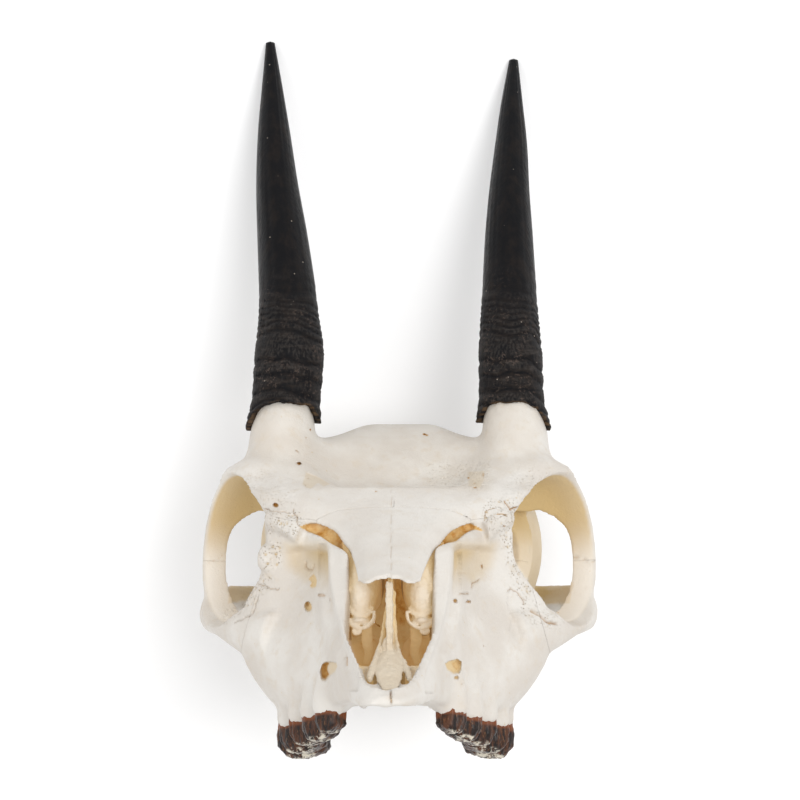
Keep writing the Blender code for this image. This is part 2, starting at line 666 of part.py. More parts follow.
def painted(thing, kind, rough):
    material = bpy.data.materials.new(thing.name)
    material.use_nodes = True
    shader = material.node_tree.nodes["Principled BSDF"]
    shader.inputs["Base Color"].default_value = COLOURS[kind]
    shader.inputs["Roughness"].default_value = rough
    thing.data.materials.clear()
    thing.data.materials.append(material)
    thing.data.name = thing.name
    for polygon in thing.data.polygons:
        polygon.use_smooth = True


def lowest(thing):
    """The lowest corner of an object."""
    return min((v.co for v in thing.data.vertices), key=lambda c: c.z).copy()


def resting_place(pieces):
    """Turn from the skull's frame to the floor: nose up, horns along +Y, braincase and tips level."""
    up = Matrix(((-1, 0, 0, 0), (0, 0, 1, 0), (0, 1, 0, 0), (0, 0, 0, 1)))
    for thing in pieces.values():
        thing.data.transform(up)
    for _ in range(5):
        back = lowest(pieces["braincase"])
        tip = min((lowest(pieces["horn_sheath_" + side]) for side in ("left", "right")), key=lambda c: c.z)
        lift = Matrix.Rotation(-math.atan2(tip.z - back.z, tip.y - back.y), 4, "X")
        for thing in pieces.values():
            thing.data.transform(lift)


def flattened(things, depth):
    """Cut small resting flats, so that all feet stand at one level."""
    low = min(v.co.z for thing in things for v in thing.data.vertices)
    for thing in things:
        if min(v.co.z for v in thing.data.vertices) < low + depth:
            slice_ = prism([(-200, -200), (200, -200), (200, 200), (-200, 200)], 2, low - 20, low + depth)
            combined(thing, body("floor", slice_), "DIFFERENCE")
    corners = [v.co for thing in things for v in thing.data.vertices]
    middle = Vector(((max(c.x for c in corners) + min(c.x for c in corners)) / 2,
                     (max(c.y for c in corners) + min(c.y for c in corners)) / 2,
                     min(c.z for c in corners)))
    for thing in things:
        thing.data.transform(Matrix.Scale(MM, 4) @ Matrix.Translation(-middle))


def main():
    for thing in list(bpy.data.objects):
        bpy.data.objects.remove(thing)
    skull = fused("skull", skull_lumps())
    combined(skull, fused("hollows", skull_hollows(), 0.7, 1), "DIFFERENCE")
    decimated(skull, BONE_TRIANGLES)
    pieces = split(skull, seams(), SEEDS)
    for side, knots in (("right", HORN_RIGHT), ("left", HORN_LEFT)):
        sheath, core = build_horn(knots, "horn_sheath_" + side)
        combined(pieces["forehead"], core, "UNION")
        pieces["horn_sheath_" + side] = sheath
    nasals = roof_slab(NASAL_SEAM_Y + GAP, NASAL_TIP_Y, nasal_shape, 13)
    pieces["nasal_bones"] = body("nasal_bones", nasals)
    pieces["nose_septum"] = body("nose_septum", septum())
    scroll = turbinate()
    pieces["turbinate_right"] = body("turbinate_right", scroll)
    pieces["turbinate_left"] = body("turbinate_left", mirrored(scroll))
    things = list(pieces.values())
    resting_place(pieces)
    flattened(things, 0.25)
    for name, thing in pieces.items():
        kind = name.split("_")[0]
        if kind == "horn":
            painted(thing, "horn", 0.4)
        elif kind in ("nose", "turbinate"):
            painted(thing, "scroll", 0.7)
        else:
            painted(thing, "bone", 0.6)


main()
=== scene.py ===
"""A grysbok skull with its horns, lying nose up, dressed for a close look.

Every bone is modelled in the skull's own frame, in millimetres: x to the animal's right, y from the
condyles to the nose, z from the tips of the cheek teeth to the crown. The finished pieces are then laid in
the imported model's frame, in metres, where each of them stands for its CAD node.
"""

import logging
import math
import random
from dataclasses import dataclass, field
from enum import Enum

import bmesh
import bpy
import numpy as np
from mathutils import Matrix, Vector, kdtree, noise
from mathutils.bvhtree import BVHTree


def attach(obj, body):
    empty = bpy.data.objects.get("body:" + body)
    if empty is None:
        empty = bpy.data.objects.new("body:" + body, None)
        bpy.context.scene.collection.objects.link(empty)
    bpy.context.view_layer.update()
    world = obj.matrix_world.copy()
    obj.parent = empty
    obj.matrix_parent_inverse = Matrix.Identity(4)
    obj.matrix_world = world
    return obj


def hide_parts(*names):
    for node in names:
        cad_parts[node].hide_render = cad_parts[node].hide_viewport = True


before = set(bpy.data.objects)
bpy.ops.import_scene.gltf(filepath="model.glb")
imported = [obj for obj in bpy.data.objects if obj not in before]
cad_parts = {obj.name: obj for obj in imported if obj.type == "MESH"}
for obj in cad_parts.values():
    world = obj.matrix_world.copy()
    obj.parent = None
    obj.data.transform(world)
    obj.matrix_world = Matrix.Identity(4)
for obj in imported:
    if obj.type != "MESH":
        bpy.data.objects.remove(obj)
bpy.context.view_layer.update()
LOG = logging.getLogger("skull")

MM = 0.001
UP = Matrix(((-1, 0, 0, 0), (0, 0, 1, 0), (0, 1, 0, 0), (0, 0, 0, 1)))

Row = tuple[float, ...]
Table = tuple[Row, ...]


class Side(Enum):
    """The two sides of the head, with the sign of x."""

    RIGHT = 1
    LEFT = -1

    @property
    def word(self) -> str:
        """The side's name as the nodes have it."""
        return self.name.lower()


def spline(knots: Table, t: float) -> list[float]:
    """Values of a smooth curve through rows that begin with their own t.

    Args:
        knots: rows of t and the values there, in order of t.
        t: where the curve is read; the ends hold beyond the rows.

    Returns:
        The values at t.
    """
    if t <= knots[0][0]:
        return list(knots[0][1:])
    if t >= knots[-1][0]:
        return list(knots[-1][1:])
    i = 0
    while knots[i + 1][0] < t:
        i += 1
    a, b = knots[i], knots[i + 1]
    before, after = knots[max(i - 1, 0)], knots[min(i + 2, len(knots) - 1)]
    span = b[0] - a[0]
    s = (t - a[0]) / span
    values = []
    for k in range(1, len(a)):
        ma = span * (b[k] - before[k]) / (b[0] - before[0])
        mb = span * (after[k] - a[k]) / (after[0] - a[0])
        values.append((2 * s**3 - 3 * s**2 + 1) * a[k] + (s**3 - 2 * s**2 + s) * ma
                      + (3 * s**2 - 2 * s**3) * b[k] + (s**3 - s**2) * mb)
    return values


def eased(low: float, high: float, value):
    """0 below low and 1 above high, eased between, for a number or an array.

    Args:
        low: where the step begins.
        high: where it ends; it may be less than low, for a falling step.
        value: a number or an array.

    Returns:
        The step, of the same kind as value.
    """
    t = np.clip((value - low) / (high - low), 0.0, 1.0)
    return t * t * (3 - 2 * t)


def closed_curve(points: list, count: int) -> list[list[float]]:
    """A smooth loop of count points through a closed polygon.

    Args:
        points: the polygon's corners, two numbers each.
        count: how many points to return.

    Returns:
        The loop.
    """
    n = len(points)
    loop = []
    for k in range(count):
        t = k * n / count
        i = int(t)
        s = t - i
        p0, p1, p2, p3 = (points[(i + j - 1) % n] for j in range(4))
        loop.append([0.5 * (2 * b + (c - a) * s + (2 * a - 5 * b + 4 * c - d) * s * s
                            + (3 * b - a - 3 * c + d) * s**3)
                     for a, b, c, d in zip(p0, p1, p2, p3)])
    return loop


class Forms:
    """Closed shapes made with bmesh operators, in millimetres."""

    @staticmethod
    def ball(centre: Row, radii: Row) -> bmesh.types.BMesh:
        """An ellipsoid.

        Args:
            centre: its middle.
            radii: its half sizes.

        Returns:
            The shape.
        """
        bm = bmesh.new()
        place = Matrix.Translation(centre) @ Matrix.Diagonal((*radii, 1.0))
        bmesh.ops.create_uvsphere(bm, u_segments=48, v_segments=32, radius=1.0, matrix=place)
        return bm

    @staticmethod
    def loft(rings: list) -> bmesh.types.BMesh:
        """A closed skin over a row of rings.

        Args:
            rings: lists of points, each list as long as the first.

        Returns:
            The shape, with both ends filled.
        """
        bm = bmesh.new()
        verts = bmesh.ops.create_circle(bm, segments=len(rings[0]), radius=1.0)["verts"]
        for vert, point in zip(verts, rings[0]):
            vert.co = point
        edges = list(bm.edges)
        first = list(edges)
        for ring in rings[1:]:
            made = bmesh.ops.extrude_edge_only(bm, edges=edges)["geom"]
            fresh = {e for e in made if isinstance(e, bmesh.types.BMVert)}
            edges = [e for e in made if isinstance(e, bmesh.types.BMEdge)]
            verts = [next(e.other_vert(v) for e in v.link_edges if e.other_vert(v) in fresh) for v in verts]
            for vert, point in zip(verts, ring):
                vert.co = point
        bmesh.ops.edgeloop_fill(bm, edges=first)
        bmesh.ops.edgeloop_fill(bm, edges=edges)
        bmesh.ops.recalc_face_normals(bm, faces=bm.faces)
        return bm

    @staticmethod
    def limb(knots: list, side: Row = (1, 0, 0), count: int = 32, steps: int = 6) -> bmesh.types.BMesh:
        """A tube through rows of x, y, z, half size along side and half size across it.

        Args:
            knots: the rows.
            side: the direction of the first half size.
            count: points round the tube.
            steps: rings from one row to the next.

        Returns:
            The shape.
        """
        rows = [(i, *row) for i, row in enumerate(knots)]
        total = (len(rows) - 1) * steps
        path = [spline(rows, i / steps) for i in range(total + 1)]
        rings = []
        for i, row in enumerate(path):
            along = (Vector(path[min(i + 1, total)][:3]) - Vector(path[max(i - 1, 0)][:3])).normalized()
            across = (Vector(side) - along * along.dot(Vector(side))).normalized()
            other = along.cross(across)
            rings.append([Vector(row[:3]) + across * row[3] * math.cos(a) + other * row[4] * math.sin(a)
                          for a in (2 * math.pi * k / count for k in range(count))])
        return Forms.loft(rings)

    @staticmethod
    def prism(outline: list, axis: int, low: float, high: float) -> bmesh.types.BMesh:
        """A flat polygon carried along one axis; its two numbers are the other axes in order.

        Args:
            outline: the polygon.
            axis: 0, 1 or 2.
            low: where it starts on that axis.
            high: where it ends.

        Returns:
            The shape.
        """
        near, far = [], []
        for pair in outline:
            for ring, level in ((near, low), (far, high)):
                point = list(pair)
                point.insert(axis, level)
                ring.append(Vector(point))
        return Forms.loft([near, far])

    @staticmethod
    def sheet(line: list, axis: int, low: float, high: float, thick: float) -> bmesh.types.BMesh:
        """A thin sheet bent along a line of points.

        Args:
            line: points in the plane across the axis.
            axis: the axis it is carried along.
            low: where it starts.
            high: where it ends.
            thick: the sheet's thickness.

        Returns:
            The shape.
        """
        left, right = [], []
        for i, point in enumerate(line):
            a, b = Vector(line[max(i - 1, 0)]), Vector(line[min(i + 1, len(line) - 1)])
            across = (b - a).normalized().orthogonal() * (thick / 2)
            left.append(tuple(Vector(point) + across))
            right.append(tuple(Vector(point) - across))
        return Forms.prism(left + right[::-1], axis, low, high)

    @staticmethod
    def slab(top, bottom, across: int, along: int) -> bmesh.types.BMesh:
        """A closed plate between two surfaces given over u and v from -1 to 1.

        Args:
            top: a function of u and v.
            bottom: another.
            across: divisions over u.
            along: divisions over v.

        Returns:
            The shape.
        """
        bm = bmesh.new()
        bmesh.ops.create_grid(bm, x_segments=across, y_segments=along, size=1.0)
        made = bmesh.ops.extrude_face_region(bm, geom=list(bm.faces))["geom"]
        under = {e for e in made if isinstance(e, bmesh.types.BMVert)}
        for vert in bm.verts:
            vert.co = (bottom if vert in under else top)(vert.co.x, vert.co.y)
        bmesh.ops.recalc_face_normals(bm, faces=bm.faces)
        return bm

    @staticmethod
    def mirrored(bm: bmesh.types.BMesh) -> bmesh.types.BMesh:
        """Moves a shape to the other side of the head as its own mirror image."""
        bmesh.ops.scale(bm, vec=(-1, 1, 1), verts=bm.verts)
        bmesh.ops.reverse_faces(bm, faces=bm.faces)
        return bm

    @staticmethod
    def pair(bm: bmesh.types.BMesh) -> list:
        """A shape and its mirror image on the other side of the head."""
        return [bm, Forms.mirrored(bm.copy())]


class Bench:
    """Objects from shapes, and what is done to them before they are finished."""

    @staticmethod
    def body(name: str, shapes: list) -> bpy.types.Object:
        """An object that holds some shapes side by side.

        Args:
            name: the object's name.
            shapes: bmeshes, which are freed.

        Returns:
            The object.
        """
        whole = bmesh.new()
        for shape in shapes:
            mesh = bpy.data.meshes.new("shape")
            shape.to_mesh(mesh)
            shape.free()
            whole.from_mesh(mesh)
            bpy.data.meshes.remove(mesh)
        mesh = bpy.data.meshes.new(name)
        whole.to_mesh(mesh)
        whole.free()
        thing = bpy.data.objects.new(name, mesh)
        bpy.context.scene.collection.objects.link(thing)
        return thing

    @staticmethod
    def settle(thing: bpy.types.Object) -> bpy.types.Object:
        """Applies every modifier of an object and gives it back."""
        bpy.context.view_layer.update()
        graph = bpy.context.evaluated_depsgraph_get()
        mesh = bpy.data.meshes.new_from_object(thing.evaluated_get(graph))
        old, thing.data = thing.data, mesh
        thing.modifiers.clear()
        bpy.data.meshes.remove(old)
        return thing

    @staticmethod
    def fused(thing: bpy.types.Object, voxel: float, smooth: int) -> bpy.types.Object:
        """Overlapping closed shapes as one smooth skin.

        Args:
            thing: the object that holds them.
            voxel: the size of the new faces.
            smooth: rounds of smoothing.

        Returns:
            The object.
        """
        remesh = thing.modifiers.new("Remesh", "REMESH")
        remesh.mode = "VOXEL"
        remesh.voxel_size = voxel
        relax = thing.modifiers.new("Smooth", "SMOOTH")
        relax.factor = 0.5
        relax.iterations = smooth
        return Bench.settle(thing)

    @staticmethod
    def cut(thing: bpy.types.Object, cutter: bpy.types.Object, how: str = "DIFFERENCE") -> bpy.types.Object:
        """A boolean of two objects; the second is used up.

        Args:
            thing: the object that is changed.
            cutter: the other one.
            how: the boolean's operation.

        Returns:
            The first object.
        """
        step = thing.modifiers.new("Boolean", "BOOLEAN")
        step.operation = how
        step.solver = "MANIFOLD"
        step.object = cutter
        Bench.settle(thing)
        bpy.data.objects.remove(cutter)
        return thing

    @staticmethod
    def store(thing: bpy.types.Object, name: str, values) -> None:
        """Puts numbers into a layer of a mesh, made afresh.

        Args:
            thing: the object.
            name: the layer's name.
            values: one number per vertex.
        """
        layers = thing.data.attributes
        old = layers.get(name)
        if old is not None:
            layers.remove(old)
        layers.new(name, "FLOAT", "POINT").data.foreach_set("value", np.asarray(values, np.float32))

    @staticmethod
    def islands(bm: bmesh.types.BMesh) -> list[set]:
        """Groups of faces that hang together, the largest first."""
        left = set(bm.faces)
        groups = []
        while left:
            seed = left.pop()
            group, front = {seed}, [seed]
            while front:
                face = front.pop()
                for edge in face.edges:
                    for near in edge.link_faces:
                        if near in left:
                            left.discard(near)
                            group.add(near)
                            front.append(near)
            groups.append(group)
        return sorted(groups, key=len, reverse=True)


@dataclass(frozen=True)
class Picture:
    """The photograph's view in the skull's frame: where its camera stands and what falls on which pixel."""

    aim: Row = (-0.58, 62.0, 64.7)
    distance: float = 600.0
    below: float = 7.0
    yaw: float = 1.7
    focal: float = 3318.0
    half: float = 400.0

    def axes(self) -> tuple[Vector, Vector, Vector]:
        """The directions towards the camera, to the picture's right and to its top."""
        e, a = math.radians(-self.below), math.radians(self.yaw)
        toward = Vector((-math.sin(a) * math.cos(e), math.cos(a) * math.cos(e), math.sin(e)))
        right = (-toward).cross(Vector((0, 0, 1))).normalized()
        return toward, right, right.cross(-toward)

    def eye(self) -> Vector:
        """Where the camera stands."""
        return Vector(self.aim) + self.axes()[0] * self.distance

    def spots(self, places: np.ndarray) -> np.ndarray:
        """Pixels of points.

        Args:
            places: points, one per row.

        Returns:
            Their pixels, one per row.
        """
        toward, right, top = (np.array(a) for a in self.axes())
        away = places - np.array(self.eye())
        depth = -(away @ toward)
        return np.stack([self.half + self.focal * (away @ right) / depth,
                         self.half - self.focal * (away @ top) / depth], axis=1)

    def point(self, px: float, py: float, y: float) -> Vector:
        """The point of a pixel's line of sight at one y of the skull.

        Args:
            px: pixels from the left.
            py: pixels from the top.
            y: millimetres from the condyles.

        Returns:
            The point.
        """
        toward, right, top = self.axes()
        ray = right * ((px - self.half) / self.focal) + top * ((self.half - py) / self.focal) - toward
        eye = self.eye()
        return eye + ray * ((y - eye.y) / ray.y)

    def shaft(self, outline: list, near: float, far: float) -> bmesh.types.BMesh:
        """A closed shape that an outline of pixels sweeps from one y to another.

        Args:
            outline: the pixels.
            near: the y nearer the camera.
            far: the y further off.

        Returns:
            The shape.
        """
        return Forms.loft([[self.point(px, py, y) for px, py in outline] for y in (near, far)])


@dataclass(frozen=True)
class Lie:
    """How the skull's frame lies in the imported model's frame."""

    tilt: float = 10.697
    shift: Row = (0.0404, -9.562, -75.141)

    def matrix(self) -> Matrix:
        """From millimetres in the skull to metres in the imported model."""
        turn = Matrix.Rotation(-math.radians(self.tilt), 4, "X") @ UP
        return Matrix.Scale(MM, 4) @ turn @ Matrix.Translation(Vector(self.shift))

    def place(self, thing: bpy.types.Object) -> None:
        """Lays a finished piece down."""
        thing.data.transform(self.matrix())
        thing.data.update()


@dataclass(frozen=True)
class Line:
    """A suture or crack on the front of the skull, along pixels of the photograph."""

    along: tuple
    width: float = 1.2
    depth: float = 0.25
    stain: float = 0.5
    wander: float = 0.8
    nearest: float = 45.0


@dataclass(frozen=True)
class Dent:
    """A hole or pit on the front of the skull, by its outline in pixels of the photograph. Its darkening and
    tan are painted shade and its glow painted light, so that a shallow dent reads as a deep hole.
    """

    outline: tuple
    depth: float = 1.0
    stain: float = 0.8
    soft: float = 0.7
    nearest: float = 45.0
    tan: float = 0.0
    glow: float = 0.0

    @staticmethod
    def oval(px: float, py: float, rx: float, ry: float, turn: float = 0.0, **facts) -> "Dent":
        """An oval dent.

        Args:
            px: its middle, from the left.
            py: its middle, from the top.
            rx: its half width.
            ry: its half height.
            turn: degrees clockwise.
            facts: the other fields.

        Returns:
            The dent.
        """
        a = math.radians(turn)
        ring = [(rx * math.cos(t), ry * math.sin(t)) for t in (math.pi * k / 8 for k in range(16))]
        return Dent(tuple((px + x * math.cos(a) - y * math.sin(a), py + x * math.sin(a) + y * math.cos(a))
                          for x, y in ring), **facts)


@dataclass(frozen=True)
class Zone:
    """A patch of rough or coloured bone, by its outline in pixels of the photograph."""

    outline: tuple
    rough: float = 0.0
    tan: float = 0.0
    pale: float = 0.0
    soft: float = 6.0
    nearest: float = 45.0


def reach(spots: np.ndarray, line: list, closed: bool) -> tuple[np.ndarray, np.ndarray]:
    """Distances of pixels from a line, and which of them an outline encloses.

    Args:
        spots: pixels, one per row.
        line: the line's corners.
        closed: whether it is an outline.

    Returns:
        The distances, and for an outline what it encloses.
    """
    ends = list(line) + [line[0]] if closed else list(line)
    near = np.full(len(spots), 1e9)
    inside = np.zeros(len(spots), bool)
    for a, b in zip(ends, ends[1:]):
        start, step = np.array(a, float), np.array(b, float) - np.array(a, float)
        t = np.clip(((spots - start) @ step) / max(step @ step, 1e-9), 0, 1)
        near = np.minimum(near, np.hypot(*(spots - start - t[:, None] * step).T))
        if closed:
            crosses = (spots[:, 1] > a[1]) != (spots[:, 1] > b[1])
            at = a[0] + (spots[:, 1] - a[1]) * step[0] / (step[1] if step[1] else 1e-9)
            inside ^= crosses & (spots[:, 0] < at)
    return near, inside


def wandering(line: tuple, wander: float, seed: int) -> list:
    """A line with the small zigzag of a suture.

    Args:
        line: the corners.
        wander: how far it strays, in pixels.
        seed: for the random strays.

    Returns:
        The finer line.
    """
    pick = random.Random(seed)
    fine = []
    for a, b in zip(line, line[1:]):
        length = math.hypot(b[0] - a[0], b[1] - a[1])
        count = max(1, int(length / 2.2))
        for k in range(count):
            t = k / count
            stray = wander * pick.uniform(-1, 1) if fine else 0.0
            fine.append((a[0] + (b[0] - a[0]) * t - (b[1] - a[1]) / length * stray,
                         a[1] + (b[1] - a[1]) * t + (b[0] - a[0]) / length * stray))
    return fine + [line[-1]]


LINES = (
    Line(((391.4, 489), (391.0, 530), (391.3, 578)), 0.8, 0.16, 0.35, 0.3, 60),
    Line(((265, 509.7), (271, 510.2), (279.5, 511.8), (284, 510.6), (286.7, 512.2)), 0.9, 0.3, 0.5, 1.1, 60),
    Line(((293.2, 509), (296, 516), (298.2, 523.7), (299.5, 526)), 0.9, 0.3, 0.5, 0.8, 60),
    Line(((257.7, 584.8), (265.6, 586.1), (272, 589.4), (278.7, 588.8)), 1.0, 0.35, 0.5, 1.2, 60),
    Line(((234.2, 622.7), (243.4, 619.5), (252.5, 612.3), (255, 608.4), (258, 597)), 1.0, 0.45, 0.35, 1.2,
         50),
    Line(((206.4, 563.3), (215.3, 559.4), (227, 553.5)), 0.8, 0.15, 0.35, 0.4, 40),
    Line(((567, 556), (583.5, 559), (588, 563.5), (596.5, 560.5)), 1.2, 0.4, 0.35, 0.4, 40),
    Line(((321.5, 548), (323, 578), (329, 613), (337.2, 634), (348, 663), (354, 687)), 9.0, 0.8, 0.0, 0.0,
         78),
    Line(((458, 548), (457, 580), (452.5, 613), (446, 638), (437, 661), (429, 689)), 9.0, 0.8, 0.0, 0.0, 78),
    Line(((504.5, 500.5), (505.8, 503.1), (511.2, 509.1), (519.2, 507.1)), 1.2, 0.5, 0.9, 0.4, 60),
    Line(((484.4, 520.5), (485.7, 511.2), (489.7, 508.5), (495, 508)), 0.8, 0.2, 0.6, 0.6, 60),
    Line(((497, 513.8), (503, 513.4), (507, 515.2)), 1.1, 0.3, 0.8, 0.3, 60),
    Line(((508, 591), (510.8, 588.2), (516.4, 591.7), (522, 598), (526.2, 599.5)), 1.1, 0.35, 0.5, 0.7, 60),
    Line(((531.8, 610.7), (540.2, 614.9), (547.3, 621.9), (557, 623.3)), 2.2, 0.8, 0.6, 0.4, 50),
    Line(((523.4, 598), (524.1, 604.4)), 1.1, 0.4, 0.5, 0.3, 60),
    Line(((508, 591), (507.3, 605), (512.2, 616.3), (509.4, 630.3)), 0.8, 0.12, 0.15, 0.5, 60),
    Line(((389.8, 684), (390.8, 694), (391.4, 704)), 1.3, 0.8, 0.75, 0.3, 110),
    Line(((342.2, 657), (343.6, 665.4)), 1.0, 0.3, 0.5, 0.2, 90),
    Line(((305, 563.5), (304, 567), (307, 570), (311, 570.5), (313, 566)), 1.9, 0.45, 0.35, 0.3, 60),
    Line(((472, 588), (473, 583), (477, 582), (480, 580)), 1.2, 0.4, 0.55, 0.4, 60),
    Line(((461.5, 593.8), (469, 593.6)), 1.2, 0.4, 0.55, 0.2, 60),
)

DENTS = (
    Dent.oval(299, 463.6, 2.3, 1.8, depth=1.6, stain=1.0, nearest=50),
    Dent.oval(297, 451.3, 2.6, 0.9, 40, depth=0.45, stain=0.6, nearest=50),
    Dent.oval(310.3, 429.7, 1.0, 1.1, depth=0.7, stain=1.4),
    Dent.oval(306, 437.7, 0.8, 0.8, depth=0.4, stain=0.9),
    Dent.oval(376, 491.5, 1.3, 1.0, depth=0.35, stain=0.8, nearest=60),
    Dent.oval(425, 434.4, 3.0, 1.1, 22, depth=0.6, stain=1.6, nearest=30),
    Dent.oval(275.5, 505.2, 3.1, 2.4, 20, depth=1.2, stain=0.95, nearest=60),
    Dent(((306, 472), (316, 476), (331, 484), (324, 487), (318, 483.4), (311, 489), (306, 488), (302, 484)),
         0.5, 0.0, 1.4, 50, 0.34),
    Dent.oval(308, 478.5, 0.9, 0.9, depth=0.5, stain=0.5, nearest=50),
    Dent.oval(305.5, 486, 0.8, 0.7, depth=0.5, stain=0.5, nearest=50),
    Dent.oval(312, 486, 0.7, 0.6, depth=0.4, stain=0.4, nearest=50),
    Dent.oval(468.5, 478, 1.6, 1.3, depth=0.7, stain=0.8, nearest=50),
    Dent.oval(475, 488, 2.3, 0.9, depth=0.5, stain=0.85, nearest=50),
    Dent.oval(483.5, 475, 1.4, 2.6, depth=0.5, stain=0.5, nearest=50),
    Dent.oval(474.5, 483.5, 1.2, 1.0, depth=0.4, stain=0.6, nearest=50),
    Dent(((307.8, 579.7), (310.5, 576.6), (313.4, 574.1), (315.6, 577), (316.9, 581.1), (316.2, 587.4),
          (312, 588.6), (309.2, 586.7), (311.3, 583)), 0.9, 0.2, 1.6, 60, 0.8, 0.5),
    Dent.oval(298, 693, 15, 15, depth=0.7, stain=0.0, soft=10.0, nearest=60),
    Dent.oval(484, 690, 15, 15, depth=0.7, stain=0.0, soft=10.0, nearest=60),
    Dent.oval(308.2, 606.8, 3.7, 5.2, -16, depth=1.5, stain=0.3, nearest=60, tan=0.8, glow=0.6),
    Dent.oval(307.2, 604.5, 1.6, 2.8, -16, depth=0.6, stain=0.6, nearest=60),
    Dent.oval(320, 595.4, 2.6, 2.2, depth=0.8, stain=0.45, nearest=60),
    Dent.oval(326, 599, 1.0, 2.4, depth=0.4, stain=0.3, nearest=60),
    Dent(((321.6, 664.6), (325, 662.2), (331, 661.8), (336.6, 663), (337.8, 666.6), (335.4, 671.6),
          (330.4, 675.8), (326, 681.2), (321.6, 680), (319.6, 671)), 1.2, 0.0, 0.9, 80, 0.5, 0.2),
    Dent(((322.4, 664.6), (326, 663), (330.4, 663.6), (327.6, 667.5), (327.4, 671), (329.4, 675.5),
          (325.4, 680.4), (321.2, 678.6), (320.6, 670)), 1.4, 0.8, 0.7, 80, 0.6, 0.7),
    Dent(((444.9, 664), (449.1, 661.2), (457.5, 659.1), (461.4, 661.9), (461.3, 669.6), (458.9, 673.5),
          (453.3, 673.8), (447, 669.6)), 1.7, 0.12, 0.9, 80, 0.85, 0.7),
    Dent(((451, 664), (458, 660.5), (460.5, 663), (460, 669), (457, 672), (453, 668)), 0.8, 0.4, 1.5, 80, 0.3,
         0.5),
    Dent.oval(456.4, 677.8, 2.4, 1.9, -10, depth=0.9, stain=0.45, nearest=80, tan=0.6, glow=0.4),
    Dent.oval(461.7, 683.9, 0.8, 0.8, depth=0.4, stain=0.8, nearest=80),
    Dent.oval(483.5, 645.9, 1.0, 0.8, depth=0.4, stain=0.8, nearest=70),
    Dent.oval(458.2, 600.4, 1.4, 2.1, depth=1.0, stain=0.85, nearest=70),
    Dent.oval(468.2, 602, 2.9, 1.5, -8, depth=1.0, stain=0.75, nearest=70),
    Dent.oval(482.1, 567, 1.2, 2.1, depth=0.6, stain=0.7, nearest=60),
    Dent.oval(463.8, 573.6, 3.4, 1.3, depth=0.35, stain=0.3, nearest=60),
    Dent.oval(504.2, 526.3, 1.4, 1.0, depth=0.5, stain=0.8, nearest=60),
    Dent.oval(558.4, 612.8, 0.9, 0.9, depth=0.3, stain=0.9, nearest=50),
)

ZONES = (
    Zone(((262, 512), (300, 512), (300, 533), (286, 537), (268, 533)), rough=0.9, soft=4, nearest=60),
    Zone(((262, 543), (280, 541), (282, 566), (266, 572), (258, 558)), rough=1.0, pale=0.5, soft=3,
         nearest=60),
    Zone(((262, 574), (272, 578), (258, 600), (240, 612), (226, 625), (222, 618), (238, 600)), rough=0.8,
         soft=4),
    Zone(((236, 474), (247, 482), (262, 508), (300, 508), (296, 490), (262, 470)), rough=0.35, soft=8),
    Zone(((484, 500), (520, 498), (514, 530), (522, 566), (532, 592), (520, 598), (506, 560), (498, 536),
          (484, 524)), rough=0.85, soft=4, nearest=60),
    Zone(((524, 596), (540, 604), (566, 620), (560, 630), (536, 626), (520, 612)), rough=0.6, soft=4),
    Zone(((512, 470), (552, 466), (524, 500), (500, 500)), rough=0.35, soft=8),
    Zone(((430, 466), (490, 462), (490, 488), (430, 488)), rough=0.45, tan=0.10, soft=8, nearest=50),
    Zone(((468, 472), (484, 471), (484, 480), (479, 488), (469, 486)), tan=0.35, soft=2, nearest=50),
    Zone(((246, 395), (540, 395), (536, 462), (478, 488), (312, 488), (262, 462)), tan=0.06, soft=4,
         nearest=30),
    # The two tan patches in the hollows in front of the eye sockets are painted shade.
    Zone(((286, 545), (325, 543), (323, 572), (306, 580), (290, 566)), tan=0.42, soft=9, nearest=60),
    Zone(((457, 543), (494, 545), (490, 566), (474, 582), (458, 574)), tan=0.42, soft=9, nearest=60),
    Zone(((327, 548), (347, 552), (346, 615), (350, 645), (364, 682), (390, 702), (427, 692), (432, 645),
          (435, 600), (434, 556), (455, 548), (453, 600), (446, 636), (432, 690), (392, 708), (352, 694),
          (338, 636), (330, 612)), pale=0.9, soft=3, nearest=78),
    Zone(((312, 489), (470, 489), (440, 540), (420, 580), (358, 580), (336, 530), (300, 520)), pale=0.5,
         soft=4),
    Zone(((368, 654), (412, 654), (420, 678), (360, 678)), rough=1.0, pale=0.6, soft=4, nearest=90),
)


